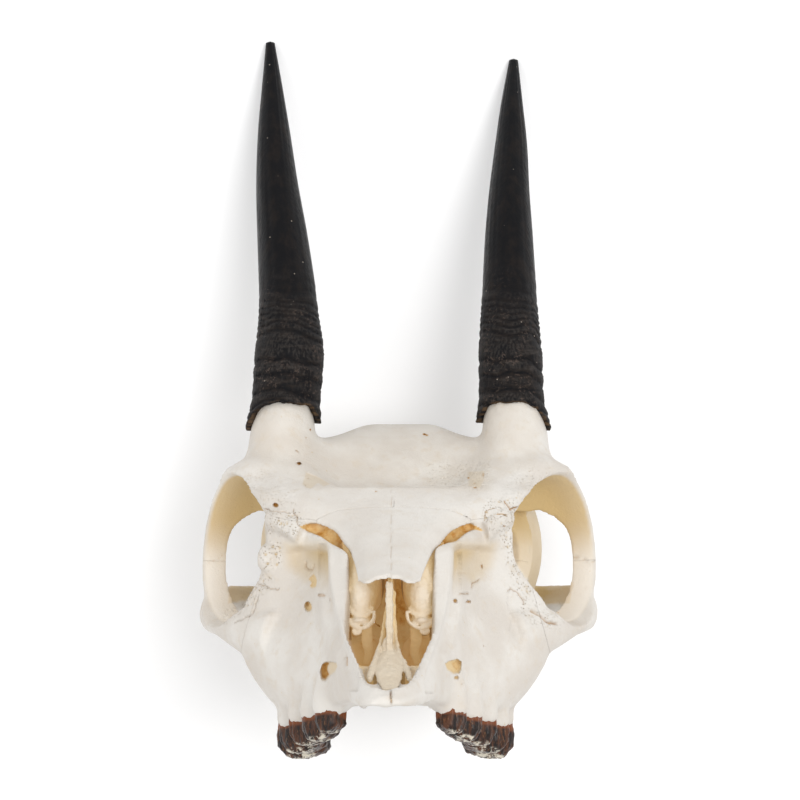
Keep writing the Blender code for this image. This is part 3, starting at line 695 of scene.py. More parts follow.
class Relief:
    """Works the front of a sculpted skull: sutures, holes, rough zones, and the colour of each vertex.

    WALLS outline the pixels where the sockets' inner walls and the arch behind them show; they get painted
    shade in tan and a little painted glow.
    """

    LAYERS = ("tan", "stain", "rough", "pale", "glow")
    WALLS = (((534, 494), (516, 507), (507, 520), (508, 545), (516, 562), (524, 576), (536, 586), (548, 588),
              (548, 540), (542, 506)),
             ((257, 500), (264, 512), (266, 540), (262, 560), (258, 580), (236, 590), (246, 540)),
             ((228, 562), (266, 566), (258, 598), (228, 604)),
             ((522, 580), (574, 582), (570, 604), (540, 604)))

    def __init__(self, thing: bpy.types.Object, picture: Picture) -> None:
        """Reads the mesh.

        Args:
            thing: the skull, in its own frame.
            picture: the photograph's view.
        """
        self.thing = thing
        self.picture = picture
        self.place = self.rows(thing.data.vertices, "co")
        self.normal = self.rows(thing.data.vertex_normals, "vector")
        self.spot = picture.spots(self.place)
        self.layers = {name: np.zeros(len(self.place)) for name in self.LAYERS}
        self.seen = self._seen()

    @staticmethod
    def rows(group, key: str) -> np.ndarray:
        """One vector per vertex, as rows."""
        flat = np.empty(len(group) * 3, np.float32)
        group.foreach_get(key, flat)
        return flat.reshape(-1, 3).astype(float)

    def _tree(self) -> BVHTree:
        """The mesh as a tree for rays."""
        mesh = self.thing.data
        return BVHTree.FromPolygons([v.co for v in mesh.vertices], [p.vertices for p in mesh.polygons])

    def _seen(self) -> np.ndarray:
        """Which vertices the photograph's camera sees."""
        tree = self._tree()
        eye = self.picture.eye()
        facing = self.normal @ np.array(self.picture.axes()[0])
        seen = facing > 0.02
        for i in np.flatnonzero(seen):
            start = Vector(self.place[i]) + Vector(self.normal[i]) * 0.12
            if tree.ray_cast(start, (eye - start).normalized(), 120.0)[0] is not None:
                seen[i] = False
        return seen

    def hollows(self, length: float = 14.0, rays: int = 14) -> np.ndarray:
        """How deep in a hollow each vertex lies, from 0 in the open to 1.

        Args:
            length: how far a wall may stand off and still count.
            rays: feelers per vertex.

        Returns:
            One number per vertex.
        """
        tree = self._tree()
        golden = math.pi * (3 - math.sqrt(5))
        fan = []
        for k in range(rays):
            height = 1 - (k + 0.5) / rays * 0.92
            flat = math.sqrt(1 - height * height)
            fan.append(Vector((flat * math.cos(golden * k), flat * math.sin(golden * k), height)))
        depth = np.zeros(len(self.place))
        for i, (place, normal) in enumerate(zip(self.place, self.normal)):
            up = Vector(normal)
            if up.length < 0.5:
                continue
            turn = up.to_track_quat("Z", "Y")
            start = Vector(place) + up * 0.1
            met = 0.0
            for ray in fan:
                hit = tree.ray_cast(start, turn @ ray, length)[3]
                if hit is not None:
                    met += 1 - 0.5 * hit / length
            depth[i] = met / rays
        return depth

    def _near(self, outline: list, margin: float, nearest: float) -> np.ndarray:
        """Indices of the seen vertices in an outline's box.

        Args:
            outline: pixels.
            margin: pixels added round them.
            nearest: the least y that counts.

        Returns:
            The indices.
        """
        xs, ys = [p[0] for p in outline], [p[1] for p in outline]
        box = (self.spot[:, 0] > min(xs) - margin) & (self.spot[:, 0] < max(xs) + margin)
        box &= (self.spot[:, 1] > min(ys) - margin) & (self.spot[:, 1] < max(ys) + margin)
        return np.flatnonzero(box & self.seen & (self.place[:, 1] > nearest))

    def wrinkle(self, at: np.ndarray, size: float, octaves: int, seed: float) -> np.ndarray:
        """Rough noise at some vertices, about -1 to 1.

        Args:
            at: the vertices' indices.
            size: millimetres of the largest swell.
            octaves: how many finer ones are added.
            seed: shifts the pattern.

        Returns:
            One number per index.
        """
        shift = Vector((seed, -seed, 2 * seed))
        return np.array([noise.fractal(Vector(self.place[i]) / size + shift, 0.6, 2.1, octaves) for i in at])

    def tint(self, name: str, amount: np.ndarray, at=slice(None)) -> None:
        """Raises a colour layer to an amount wherever it is lower.

        Args:
            name: the layer.
            amount: one number per index.
            at: the vertices' indices, or all of them.
        """
        layer = self.layers[name]
        layer[at] = np.maximum(layer[at], amount)

    def zones(self) -> None:
        """Roughens and colours the zones."""
        sink = np.zeros(len(self.place))
        for k, zone in enumerate(ZONES):
            at = self._near(zone.outline, zone.soft, zone.nearest)
            near, inside = reach(self.spot[at], zone.outline, True)
            amount = eased(-zone.soft, zone.soft * 0.6, np.where(inside, near, -near))
            for name in ("rough", "tan", "pale"):
                self.tint(name, amount * getattr(zone, name), at)
            if zone.rough:
                swell = self.wrinkle(at, 1.5, 3, 3.1 * k)
                pits = np.array([noise.voronoi(Vector(self.place[i]) * 0.95)[0][0] for i in at])
                sink[at] += amount * zone.rough * (0.16 * swell + 0.28 * eased(0.42, 0.12, pits))
        self.place -= self.normal * sink[:, None]
        # Tan and some darkening where the rough zones sink deepest: painted shade in their crevices.
        crevice = eased(0.08, 0.34, sink) * (self.layers["rough"] > 0.3)
        for name, amount in (("tan", 0.75), ("stain", 0.18)):
            self.tint(name, amount * crevice)

    def dents(self) -> None:
        """Sinks the holes and pits along the line of sight."""
        back = np.array(self.picture.axes()[0])
        for dent in DENTS:
            at = self._near(dent.outline, 3, dent.nearest)
            near, inside = reach(self.spot[at], dent.outline, True)
            signed = np.where(inside, near, -near)
            amount = eased(-0.35 * dent.soft, dent.soft, signed)
            self.place[at] -= back * (dent.depth * amount)[:, None]
            # The darkening, tan and glow below are painted shade and painted light in each dent.
            for name in ("stain", "tan", "glow"):
                self.tint(name, getattr(dent, name) * eased(-0.3, 0.9, signed), at)

    def lines(self) -> None:
        """Cuts the sutures and cracks."""
        for k, line in enumerate(LINES):
            fine = wandering(line.along, line.wander, k)
            at = self._near(fine, 4, line.nearest)
            near, _ = reach(self.spot[at], fine, False)
            amount = eased(line.width, line.width * 0.15, near)
            self.place[at] -= self.normal[at] * (line.depth * amount)[:, None]
            self.tint("stain", line.stain * amount, at)

    def fossae(self) -> None:
        """Sinks the hollow in front of each eye socket, under its ledge and beside the nasal rim, and paints
        shade into it in tan.
        """
        back = np.array(self.picture.axes()[0])
        sides = ((Side.RIGHT, 325.0, 279.0, ((276, 549.5), (300, 546.5), (325, 545.5))),
                 (Side.LEFT, 455.5, 503.0, ((455, 544.5), (478, 545.5), (506, 549.5))))
        for side, crease, outer, ledge in sides:
            s = side.value
            at = self._near([(crease, 540), (outer, 620)], 12, 60)
            px, py = self.spot[at, 0], self.spot[at, 1]
            top = np.interp(px, [p[0] for p in ledge], [p[1] for p in ledge])
            from_crease = (crease - px) * s
            from_outer = (px - outer) * s
            deep = eased(-3.0, 8.0, py - top) * (1 - eased(8.0, 58.0, py - top))
            deep *= eased(-0.3, 2.4, from_crease) * eased(-6.0, 30.0, from_outer)
            self.place[at] -= back * (2.7 * deep)[:, None]
            # Painted shade: tan, strongest by the crease and under the ledge, where the hollow is deepest.
            self.tint("tan", 0.85 * deep * eased(50.0, 4.0, from_crease + 0.5 * (py - top)), at)

    def sockets(self, form: "SkullForm") -> None:
        """Paints light and shade inside the eye sockets: tan as painted shade high up, paler bone and a
        painted glow low down.

        Args:
            form: the skull, for its sockets.
        """
        back = np.array(form.orbit_place().inverted())
        for side in Side:
            here = self.place.copy()
            here[:, 0] = side.value * (here[:, 0] - form.lean(here))
            local = here @ back[:3, :3].T + back[:3, 3]
            turn = np.degrees(np.arctan2(local[:, 2], local[:, 1]))
            rows = form.ORBIT_PINCH
            wide = np.hypot(local[:, 1], local[:, 2])
            wide /= np.interp(turn, [r[0] for r in rows], [r[1] for r in rows])
            inside = eased(14.9, 14.3, wide) * eased(0.5, -0.3, local[:, 0])
            inside *= eased(-18.0, -16.0, local[:, 0]) * (here[:, 0] > 0)
            high = eased(-4.0, 7.0, local[:, 2])
            # Painted shade in tan, most high up; lower down paler bone and painted glow that stand in for
            # light.
            self.tint("tan", inside * (0.12 + 0.15 * eased(-0.5, -6.0, local[:, 0]) + 0.73 * high))
            self.tint("pale", inside * (1 - high))
            self.tint("glow", inside * (0.66 - 0.62 * high))
        for outline in self.WALLS:
            at = self._near(outline, 2, 20)
            near, within = reach(self.spot[at], outline, True)
            wall = eased(-1.0, 1.5, np.where(within, near, -near)) * (self.place[at, 1] < 66)
            # Painted shade in tan and a little painted glow on the walls and the arch seen through the
            # sockets.
            self.tint("tan", 0.62 * wall, at)
            self.tint("glow", 0.1 * wall, at)

    def chambers(self, form: "SkullForm", walls: BVHTree) -> None:
        """Paints shade inside the nose, tan and the deeper the browner, with a painted glow deep in.

        Args:
            form: the skull, for the rim of its nose.
            walls: the surface of everything that was hollowed out.
        """
        x, y, z = self.place.T
        rim = np.interp(z, [r[0] for r in form.NOSE_RIM], [r[1] for r in form.NOSE_RIM])
        near = (np.abs(x) < 14.5) & (y > 64) & (z > 8) & (z < 44) & (y < rim - 0.6)
        px, py = self.spot.T
        gap = np.zeros(len(x), bool)
        for outline in form.GAPS:
            gap |= reach(self.spot, outline, True)[1]
        gap &= self.seen & (y > 60) & (y < 96)
        near &= ~(self.seen & ~gap & (np.abs(px - 390.5) > 39) & (py > 500) & (py < 640))
        near |= gap
        near &= ((self.normal[:, 2] > -0.5) | (z > 10)) & ((y < 92) | (np.sign(x) * self.normal[:, 0] < 0.15))
        depth = np.where(near, rim - y, 0.0)
        for i in np.flatnonzero(near & ~gap):
            away = walls.find_nearest(Vector(self.place[i]))[3]
            inward = (self.place[i, 1] < 88 and abs(self.place[i, 0]) < 12.5
                      and self.normal[i, 2] < (0.9 if self.place[i, 2] < 30 else 0.3))
            behind = inward and away < 6.0 and self.normal[i, 1] > -0.5 and away < depth[i] * 0.8
            if away > 0.9 and not behind:
                depth[i] = 0.0
        depth *= 1 - 0.9 * eased(106.0, 111.0, y) * eased(0.3, 0.7, self.normal[:, 2])
        # The colours below are painted shade: tan, then patchy brown the deeper a place lies behind the rim,
        # browner in the side pockets, the gaps and a strip by the septum; and painted glow deep in.
        wide = np.abs(x)
        pocket = np.maximum(eased(5.5, 8.0, wide) * eased(33.0, 36.0, z), 1.0 * gap)
        self.tint("tan", np.maximum(eased(0.8, 8.0, depth) * 0.8, pocket * eased(0.3, 2.0, depth)))
        patchy = np.zeros(len(x))
        at = np.flatnonzero(depth > 0.5)
        patchy[at] = self.wrinkle(at, 2.2, 3, 5.5)
        strip = eased(2.4, 1.6, wide) * eased(22.0, 25.0, z) * eased(5.0, 9.0, depth)
        brown = np.maximum(eased(9.0, 22.0, depth) * (0.25 + 0.5 * patchy), pocket * eased(0.6, 4.0, depth)
                           * (0.6 + 0.7 * patchy))
        self.tint("stain", 0.8 * np.maximum(brown, strip))
        self.tint("glow", eased(0.8, 6.0, depth))

    def grain(self) -> None:
        """Gives all bone its slight unevenness."""
        at = np.flatnonzero(self.seen)
        self.place[at] -= self.normal[at] * (0.05 * self.wrinkle(at, 5.0, 3, 7.7))[:, None]

    def write(self) -> None:
        """Puts the worked places and the layers into the mesh."""
        mesh = self.thing.data
        mesh.vertices.foreach_set("co", self.place.astype(np.float32).ravel())
        for name, values in self.layers.items():
            Bench.store(self.thing, name, values)
        mesh.update()


@dataclass(frozen=True)
class SkullForm:
    """The bones of the skull as one sculpted body, and the cuts that part it into its bones.

    Sizes are in millimetres. FACE and PASSAGE are rows of y and the corners of half a cross-section there.
    GAPS are the openings beside the nasal bones, in pixels. SEEDS are places by which each bone is known
    once the skull is cut.
    """

    picture: Picture
    voxel: float = 0.45
    seam: float = 0.03

    CRANIUM = ((0.0, 33.4, 40.0), (26.5, 28.4, 23.0))
    CONDYLE = (7.0, 4.7, 24.0)
    ORBIT_CENTRE = (29.4, 61.5, 38.2)
    ORBIT_TURN = 27.0
    ORBIT_LEAN = -4.0
    ORBIT_INNER = 13.8
    ORBIT_OUTER = 15.7
    ORBIT_FLATNESS = 0.975
    ORBIT_BAND = ((0, 5.0), (40, 8.0), (75, 12.0), (110, 12.5), (135, 8.6), (160, 4.6), (180, 3.9),
                  (205, 4.0), (230, 4.6), (270, 6.0), (330, 6.0), (360, 5.0))
    ORBIT_PINCH = ((-180, 0.95), (-158, 0.97), (-130, 1.0), (16, 1.0), (34, 0.92), (52, 0.845), (72, 0.86),
                   (92, 0.955), (112, 1.0), (135, 1.0), (158, 0.97), (180, 0.95))
    NOSE_RIM = ((8.8, 131), (10.3, 128), (12.2, 123), (15.6, 115), (18.6, 108), (21, 104), (24.9, 98),
                (29.7, 94), (34.2, 92), (41, 86))
    GUM_LINE = ((52, 6.2), (60, 6.0), (66, 5.4), (70, 5.4), (73, 4.9), (77, 5.5), (84, 5.9), (90, 6.4),
                (95, 6.9), (99, 7.6), (104, 8.0))
    NASAL_SEAM = 79.6
    NASAL_TIP = 106.6
    FOREHEAD_BACK = 37.0
    MIDLINE = ((36, 62.4), (40, 62.8), (46, 61.6), (52, 57.5), (57, 52.0), (61, 48.9), (65, 47.7),
               (70, 47.7), (72.5, 47.9), (74.5, 46.8), (80, 43.6), (90, 38.2), (100, 32.8), (108, 28.6))
    SIDE_LINE = ((36, 55), (40, 57), (46, 59), (52, 58.8), (56, 57.2), (60, 54.8), (64, 52.3), (68, 49.9),
                 (72.5, 47.8), (75, 46.0), (80, 42.4), (90, 37.0), (100, 31.8), (108, 27.8))
    HALF_WIDTH = ((36, 16), (40, 19), (45, 24), (50, 28.5), (55, 31.0), (60, 31.0), (65, 28.8), (70, 26.3),
                  (75, 22.5), (78, 17.2), (80, 13.1), (82, 10.7), (84, 9.5), (86, 8.8), (88, 8.0), (90, 7.2),
                  (94, 6.35), (99, 5.6), (104, 5.15), (108, 4.9))
    EDGE_DROP = ((36, 9), (45, 9), (52, 6), (58, 3.6), (66, 2.2), (72, 1.2), (80, 1.0), (90, 1.2), (108, 0.6))
    FACE = (
        (57, 8.0, 33.0, 10.5, 27.0, 13.0, 21.0, 16.5, 16.0, 18.0, 10.5, 12.0),
        (62, 9.5, 38.0, 13.5, 33.0, 17.5, 25.0, 20.0, 17.0, 19.3, 9.5, 11.0),
        (67, 12.5, 43.0, 20.0, 39.0, 24.0, 28.0, 26.5, 18.5, 20.0, 9.0, 10.5),
        (71, 14.0, 44.5, 24.0, 41.5, 26.2, 30.0, 27.0, 18.5, 20.2, 8.7, 10.3),
        (75, 14.0, 43.5, 22.3, 40.0, 23.0, 30.0, 25.3, 18.0, 19.8, 8.5, 10.2),
        (79, 13.4, 40.5, 16.0, 37.5, 17.6, 28.5, 22.6, 17.2, 18.9, 8.3, 10.0),
        (83, 12.2, 38.3, 13.4, 35.5, 15.0, 27.0, 19.6, 16.2, 17.4, 8.2, 9.8),
        (87, 9.8, 36.6, 12.1, 33.5, 13.5, 25.0, 17.0, 14.9, 15.5, 8.1, 9.5),
        (91.5, 7.9, 34.6, 11.6, 28.0, 12.2, 21.5, 14.2, 13.8, 13.2, 8.0, 9.1),
        (95, 7.9, 28.8, 10.5, 24.4, 11.2, 19.5, 12.3, 13.4, 11.6, 8.2, 8.9),
        (99, 7.8, 24.3, 9.4, 21.4, 10.2, 17.2, 10.6, 13.0, 10.0, 8.5, 8.9),
        (105, 7.3, 20.4, 8.4, 18.3, 8.9, 15.5, 8.8, 12.5, 8.0, 8.9, 9.0),
        (112, 5.9, 16.8, 7.0, 15.0, 7.5, 13.2, 7.5, 11.3, 6.7, 8.7, 8.7),
        (120, 4.6, 13.3, 5.8, 11.8, 6.3, 10.7, 6.3, 9.6, 5.6, 8.0, 8.0),
        (127, 3.5, 10.6, 4.7, 9.6, 5.2, 9.0, 5.2, 8.5, 4.5, 7.5, 7.5),
        (131, 2.7, 9.3, 3.7, 8.8, 4.1, 8.4, 4.1, 8.0, 3.6, 7.2, 7.2),
        (133.6, 1.5, 8.4, 2.2, 8.2, 2.4, 7.9, 2.4, 7.6, 2.1, 7.2, 7.2),
    )
    PASSAGE = (
        (69, 3.6, 16.0, 4.6, 26.0, 4.0, 36.0),
        (74, 5.4, 13.0, 6.3, 26.0, 6.6, 39.5),
        (78, 6.0, 12.2, 7.5, 28.0, 8.4, 40.0),
        (81, 6.2, 12.0, 8.0, 29.0, 8.6, 39.2),
        (84, 6.4, 11.8, 8.0, 28.0, 8.2, 38.2),
        (88, 6.5, 11.6, 7.5, 28.0, 7.1, 37.0),
        (92, 6.6, 12.6, 7.0, 27.0, 6.6, 36.5),
        (98, 6.2, 14.2, 7.0, 22.0, 7.0, 33.0),
        (104, 5.6, 15.2, 7.0, 18.8, 7.3, 28.0),
        (109, 5.2, 14.6, 6.2, 17.2, 6.2, 23.0),
        (116, 4.3, 12.7, 5.0, 15.0, 5.0, 19.0),
        (123, 3.2, 10.7, 3.9, 12.0, 3.9, 15.5),
        (128, 2.2, 9.7, 2.9, 10.4, 2.9, 13.0),
        (130.5, 1.0, 9.4, 1.6, 9.9, 1.7, 12.0),
    )
    GAPS = (
        ((299.4, 526.8), (306.5, 524.2), (319, 523.5), (328.9, 524.9), (334.5, 530.5), (342.9, 540.3),
         (351.3, 551.5), (353.4, 561.3), (356.9, 572.5), (358, 581), (350, 581), (350.6, 568.3),
         (349.9, 558.5), (345.7, 551.5), (338.7, 547.3), (330.3, 543.1), (320.5, 536.1), (309.3, 531.9)),
        ((485.2, 531), (475.8, 526.3), (468.8, 522.8), (460.3, 523.5), (450.5, 527), (442.1, 533.3),
         (437.9, 540.3), (428.1, 548.7), (426, 555.7), (422.4, 562.8), (420.3, 571.2), (421, 582.4),
         (431.6, 580), (430.2, 568.4), (428.8, 558.5), (430.9, 551.5), (437.9, 546.6), (446.3, 543.1),
         (456.1, 541), (463.1, 534.7), (470.2, 530.5), (475.8, 529.8)),
    )
    SEEDS = {
        "braincase": (0, 5, 44),
        "forehead": (0, 70, 47.7),
        "upper_jaw_right": (20, 79, 28),
        "upper_jaw_left": (-20, 79, 28),
        "premaxilla": (0, 133, 7.5),
        "cheekbone_right": (35.5, 50, 27),
        "cheekbone_left": (-35.5, 50, 27),
    }

    def top(self, x: float, y: float) -> float:
        """Height of the top of the head, the forehead and the nasal bones.

        Args:
            x: across.
            y: along.

        Returns:
            z there.
        """
        middle, side = spline(self.MIDLINE, y)[0], spline(self.SIDE_LINE, y)[0]
        part = abs(x) / spline(self.HALF_WIDTH, y)[0]
        blend = eased(71.5, 74.5, y)
        ease = eased(0.25, 0.62, part) * (1 - blend) + part**2.2 * blend
        return middle + (side - middle) * ease - spline(self.EDGE_DROP, y)[0] * eased(0.7, 1.05, part)

    def roof(self, low: float, high: float, thick, along: int) -> bmesh.types.BMesh:
        """A plate under the top surface.

        Args:
            low: where it begins along y.
            high: where it ends.
            thick: a function of u and y that gives its thickness.
            along: divisions.

        Returns:
            The shape.
        """
        def over(u: float, v: float) -> Vector:
            """The upper surface."""
            y = low + (high - low) * (v + 1) / 2
            x = u * spline(self.HALF_WIDTH, y)[0]
            return Vector((x, y, self.top(x, y)))

        def under(u: float, v: float) -> Vector:
            """The lower surface."""
            point = over(u, v)
            return point - Vector((0, 0, thick(u, point.y)))
        return Forms.slab(over, under, 60, along)

    @staticmethod
    def half_rings(rows: Table, outline, step: float = 1.0) -> list:
        """Rings for a loft along y, from a table of stations.

        Args:
            rows: the stations.
            outline: turns a station's numbers into the points of one half.
            step: millimetres between rings.

        Returns:
            The rings.
        """
        length = rows[-1][0] - rows[0][0]
        count = int(length / step)
        rings = []
        for i in range(count + 1):
            y = rows[0][0] + length * i / count
            half = outline(spline(rows, y))
            whole = half + [(-x, z) for x, z in reversed(half[1:-1])]
            rings.append([Vector((x, y, z)) for x, z in closed_curve(whole, 96)])
        return rings

    @staticmethod
    def face_outline(row: list) -> list:
        """Half a cross-section of the face, from the roof down to the palate."""
        roof_x, roof_z, wall_x, wall_z, dip_x, dip_z, ridge_x, ridge_z, base_x, base_z, palate_z = row
        return [(0, roof_z + 0.6), (roof_x * 0.6, roof_z + 0.5), (roof_x, roof_z), (wall_x, wall_z),
                (dip_x, dip_z), (ridge_x, ridge_z), (base_x, base_z), (base_x * 0.62, base_z + 0.4),
                (0, palate_z)]

    @staticmethod
    def passage_outline(row: list) -> list:
        """Half a cross-section of the nasal passage."""
        floor_x, floor_z, middle_x, middle_z, top_x, top_z = row
        return [(0, top_z + 0.4), (top_x, top_z), (middle_x, middle_z), (floor_x, floor_z),
                (0, floor_z - 0.3)]

    def orbit_place(self) -> Matrix:
        """Where the right eye socket's axis stands."""
        turn = Matrix.Rotation(math.radians(self.ORBIT_LEAN), 4, "Y")
        turn = turn @ Matrix.Rotation(math.radians(self.ORBIT_TURN), 4, "Z")
        return Matrix.Translation(self.ORBIT_CENTRE) @ turn @ Matrix.Diagonal((1, 1, self.ORBIT_FLATNESS, 1))

    def pinch(self, turn: float) -> float:
        """How far the frontal bone draws the socket's edge in, as a factor of its radius.

        Args:
            turn: degrees round the socket's axis, from the front over the top.

        Returns:
            The factor.
        """
        return spline(self.ORBIT_PINCH, turn)[0]

    def _socketed(self, bm: bmesh.types.BMesh) -> bmesh.types.BMesh:
        """Pinches a shape made about the socket's axis and puts it in its place."""
        for vert in bm.verts:
            factor = self.pinch(math.degrees(math.atan2(vert.co.z, vert.co.y)))
            vert.co.y *= factor
            vert.co.z *= factor
        bmesh.ops.transform(bm, matrix=self.orbit_place(), verts=bm.verts)
        return bm

    def orbit_ring(self) -> bmesh.types.BMesh:
        """The rim of the eye socket with the roof behind it, a band of changing depth round the axis."""
        rings = []
        for k in range(-2, 99):
            turn = k * 3.75
            deep = spline(self.ORBIT_BAND, (turn + 360) % 360)[0]
            near = self.ORBIT_OUTER - 0.9 - 0.45 * max(0.0, deep - 5.4)
            ring = [(-deep, near - 2.2), (0.2, self.ORBIT_INNER - 0.4), (0.6, self.ORBIT_OUTER - 1.0),
                    (-0.6, self.ORBIT_OUTER), (-0.55 * deep, self.ORBIT_OUTER - 0.5), (-deep, near)]
            a = math.radians(turn)
            rings.append([Vector((x, r * math.cos(a), r * math.sin(a))) for x, r in ring])
        return self._socketed(Forms.loft(rings))

    def orbit_bowl(self) -> bmesh.types.BMesh:
        """The space of the eye socket, open to the side."""
        knots = ((-15.0, 1.5), (-13.5, 6.0), (-11, 9.3), (-8, 11.6), (-5, 13.0), (0, self.ORBIT_INNER),
                 (9, 18.5))
        rings = []
        for i in range(49):
            x = -15.0 + i * 0.5
            r = spline(knots, x)[0]
            rings.append([Vector((x, r * math.cos(a), r * math.sin(a)))
                          for a in (2 * math.pi * k / 96 for k in range(96))])
        return self._socketed(Forms.loft(rings))

    def lumps(self) -> list:
        """Every bone as overlapping closed shapes."""
        def frontal(u: float, y: float) -> float:
            """Thickness of the forehead and nasal bones."""
            thick = 9.0 + (1.9 - 9.0) * eased(66.0, 79.0, y)
            return thick * (1 - 0.45 * abs(u)**3)

        lumps = [
            Forms.ball(*self.CRANIUM),
            Forms.ball((0, 14.8, 36), (20, 9.5, 16)),
            Forms.limb([(0, 6, 20, 8, 4), (0, 20, 16, 7, 3.5), (0, 36, 17, 5.5, 4), (0, 52, 20, 5, 5)]),
            Forms.limb([(0, 30, 34, 14, 15), (0, 46, 32, 12, 15), (0, 60, 30.5, 10.5, 14.5),
                        (0, 72, 29, 11, 14)]),
            Forms.limb([(-17, 12, 40, 2, 2), (-10, 10.4, 47, 2.2, 2.2), (0, 9.7, 49.5, 2.4, 2.4),
                        (10, 10.4, 47, 2.2, 2.2), (17, 12, 40, 2, 2)], side=(0, 1, 0)),
            Forms.loft(self.half_rings(self.FACE, self.face_outline)),
            self.roof(self.FOREHEAD_BACK, self.NASAL_SEAM + 4.0, frontal, 90),
        ]
        sided = [
            Forms.ball(self.CONDYLE, (5, 5, 6.5)),
            Forms.limb([(14, 10, 34, 6, 4), (15.5, 9, 24, 4.5, 3), (15, 10, 15, 3, 2.2),
                        (14, 11, 7, 1.6, 1.3)]),
            Forms.ball((11.0, 26, 18.8), (6.2, 9, 6.2)),
            Forms.limb([(14, 25, 19, 3.5, 3.5), (19, 23, 24, 3, 3), (24, 21, 28, 2.6, 2.6)]),
            Forms.limb([(6.2, 66, 14, 1.2, 5), (6.0, 56, 14.5, 1.0, 5.5), (6.5, 46, 16, 1.0, 4)]),
            self.orbit_ring(),
            Forms.limb([(21, 78, 21, 2.5, 4.5), (26, 70, 22.4, 3, 4.0), (31, 61, 24.9, 2.6, 3.1),
                        (34.3, 53, 26.8, 1.9, 3.2), (34.2, 44, 29, 1.5, 3), (31.5, 35, 30.5, 1.4, 2.6),
                        (27.5, 27, 30.5, 1.8, 3), (22, 21, 30, 3, 4)], side=(1, 0.5, 0)),
            Forms.ball((24.2, 56.0, 49.9), (7.0, 9, 5.8)),
            Forms.limb([(25.5, 56.0, 53.6, 2.2, 2.2), (28.6, 57.2, 51.9, 2.1, 2.1),
                        (30.8, 56.8, 50.1, 2.0, 2.0), (31.9, 55.0, 48.1, 1.8, 1.8),
                        (33.1, 52.5, 44.6, 1.2, 1.5)]),
            Forms.limb([(22.9, 74.3, 42.3, 1.7, 1.7), (20.9, 76.2, 41.7, 2.0, 2.0),
                        (18.8, 77.6, 40.5, 2.0, 2.0), (16.2, 79.2, 39.2, 1.9, 1.9)]),
            Forms.limb(
                [(10.2, 85.6, 34.6, 1.9, 2.2), (9.8, 88.0, 32.8, 2.3, 2.3), (9.3, 91.6, 28.6, 2.1, 2.0),
                 (8.4, 96.6, 23.6, 1.45, 1.6), (7.7, 102.6, 20.0, 1.25, 1.4), (6.3, 110.6, 16.0, 1.2, 1.4),
                 (4.7, 119.8, 12.2, 1.2, 1.4), (3.1, 127.6, 9.9, 1.25, 1.4), (1.0, 131.6, 8.8, 1.4, 1.4)]),
            Forms.limb([(21.2, 53.5, 50, 8.6, 8.6), (21.3, 52, 56, 6.6, 7.4), (21.3, 51.3, 59, 6.2, 6.8),
                        (21.0, 49.5, 65, 5.3, 5.7), (20.7, 45.5, 76, 4.9, 5.2), (20.7, 44.5, 79, 3.0, 3.2)]),
        ]
        for shape in sided + self.root_walls():
            lumps += Forms.pair(shape)
        lumps.append(Forms.ball((23.2, 75.0, 35.2), (2.0, 2.3, 2.5)))
        return lumps

    def root_walls(self) -> list:
        """The bone that bulges round the roots of one side's cheek teeth."""
        walls = []
        for x, y, turn, lobe, length, width, _ in ToothRow.lobes():
            gum = spline(self.GUM_LINE, y - lobe)[0]
            rings = []
            for z, grow in ((gum + 9.0, 0.45), (gum + 5.5, 0.8), (gum + 3.0, 0.97), (gum + 1.2, 1.0),
                            (gum + 0.3, 0.95), (gum, 0.86)):
                ring = []
                for k in range(32):
                    a = 2 * math.pi * k / 32
                    px = (0.5 * width + 0.75) * grow * math.cos(a)
                    py = lobe + (0.26 * length + 0.5) * grow * math.sin(a)
                    ring.append(Vector((x + px * math.cos(turn) + py * math.sin(turn),
                                        y - px * math.sin(turn) + py * math.cos(turn), z)))
                rings.append(ring)
            walls.append(Forms.loft(rings))
        return walls

    def nasals(self, grow: float, thick: float) -> bmesh.types.BMesh:
        """The nasal bones as a plate with scalloped tips.

        Args:
            grow: millimetres added all round.
            thick: how thick the plate is along its middle.

        Returns:
            The shape.
        """
        low = self.NASAL_SEAM + self.seam - grow
        high = self.NASAL_TIP + grow

        def level(u: float, v: float, lift: float, thick: float) -> Vector:
            """A point some way above or below the upper surface."""
            y = low + (high - low) * (v + 1) / 2
            thick *= 1 - 0.55 * eased(0.3, 1.0, v)
            scallop = 1.3 * (1 - math.exp(-((abs(u) - 0.66) / 0.2)**2)) + 0.5 * math.exp(-(u / 0.05)**2)
            scallop += 1.8 * eased(0.82, 1.0, abs(u)) + 0.12 * noise.noise(Vector((5 * u, 3.3, 0)))
            y -= scallop * eased(0.7, 1.0, v)
            x = u * (spline(self.HALF_WIDTH, y)[0] + grow)
            return Vector((x, y, self.top(x, y) + lift - thick * (1 - 0.45 * abs(u)**3)))
        return Forms.slab(lambda u, v: level(u, v, grow, 0.0), lambda u, v: level(u, v, -grow, thick), 110,
                          140)

    def nasal_bones(self) -> bpy.types.Object:
        """The finished nasal bones, a plate with its own relief."""
        thing = Bench.fused(Bench.body("nasal_bones_bone", [self.nasals(0.0, 1.6)]), 0.2, 2)
        work = Relief(thing, self.picture)
        work.grain()
        work.zones()
        work.dents()
        work.lines()
        # Tan and some glow on the hidden faces that look down: painted shade under the plate, and painted
        # light.
        under = (work.normal[:, 2] < 0.2) & ~work.seen
        for name, amount in (("tan", 0.7), ("glow", 0.3)):
            work.tint(name, amount * under)
        work.write()
        return thing

    def later_lumps(self) -> list:
        """What is added once the hollows are cut: the backs of the nose's chambers."""
        lumps = []
        for shape in (Forms.ball((5.3, 83.5, 30.0), (3.9, 6.0, 5.8)),
                      Forms.ball((9.6, 76.6, 37.5), (4.0, 4.0, 4.2)),
                      Forms.ball((4.6, 79.5, 17.0), (3.6, 5.0, 4.6))):
            lumps += Forms.pair(shape)
        return lumps

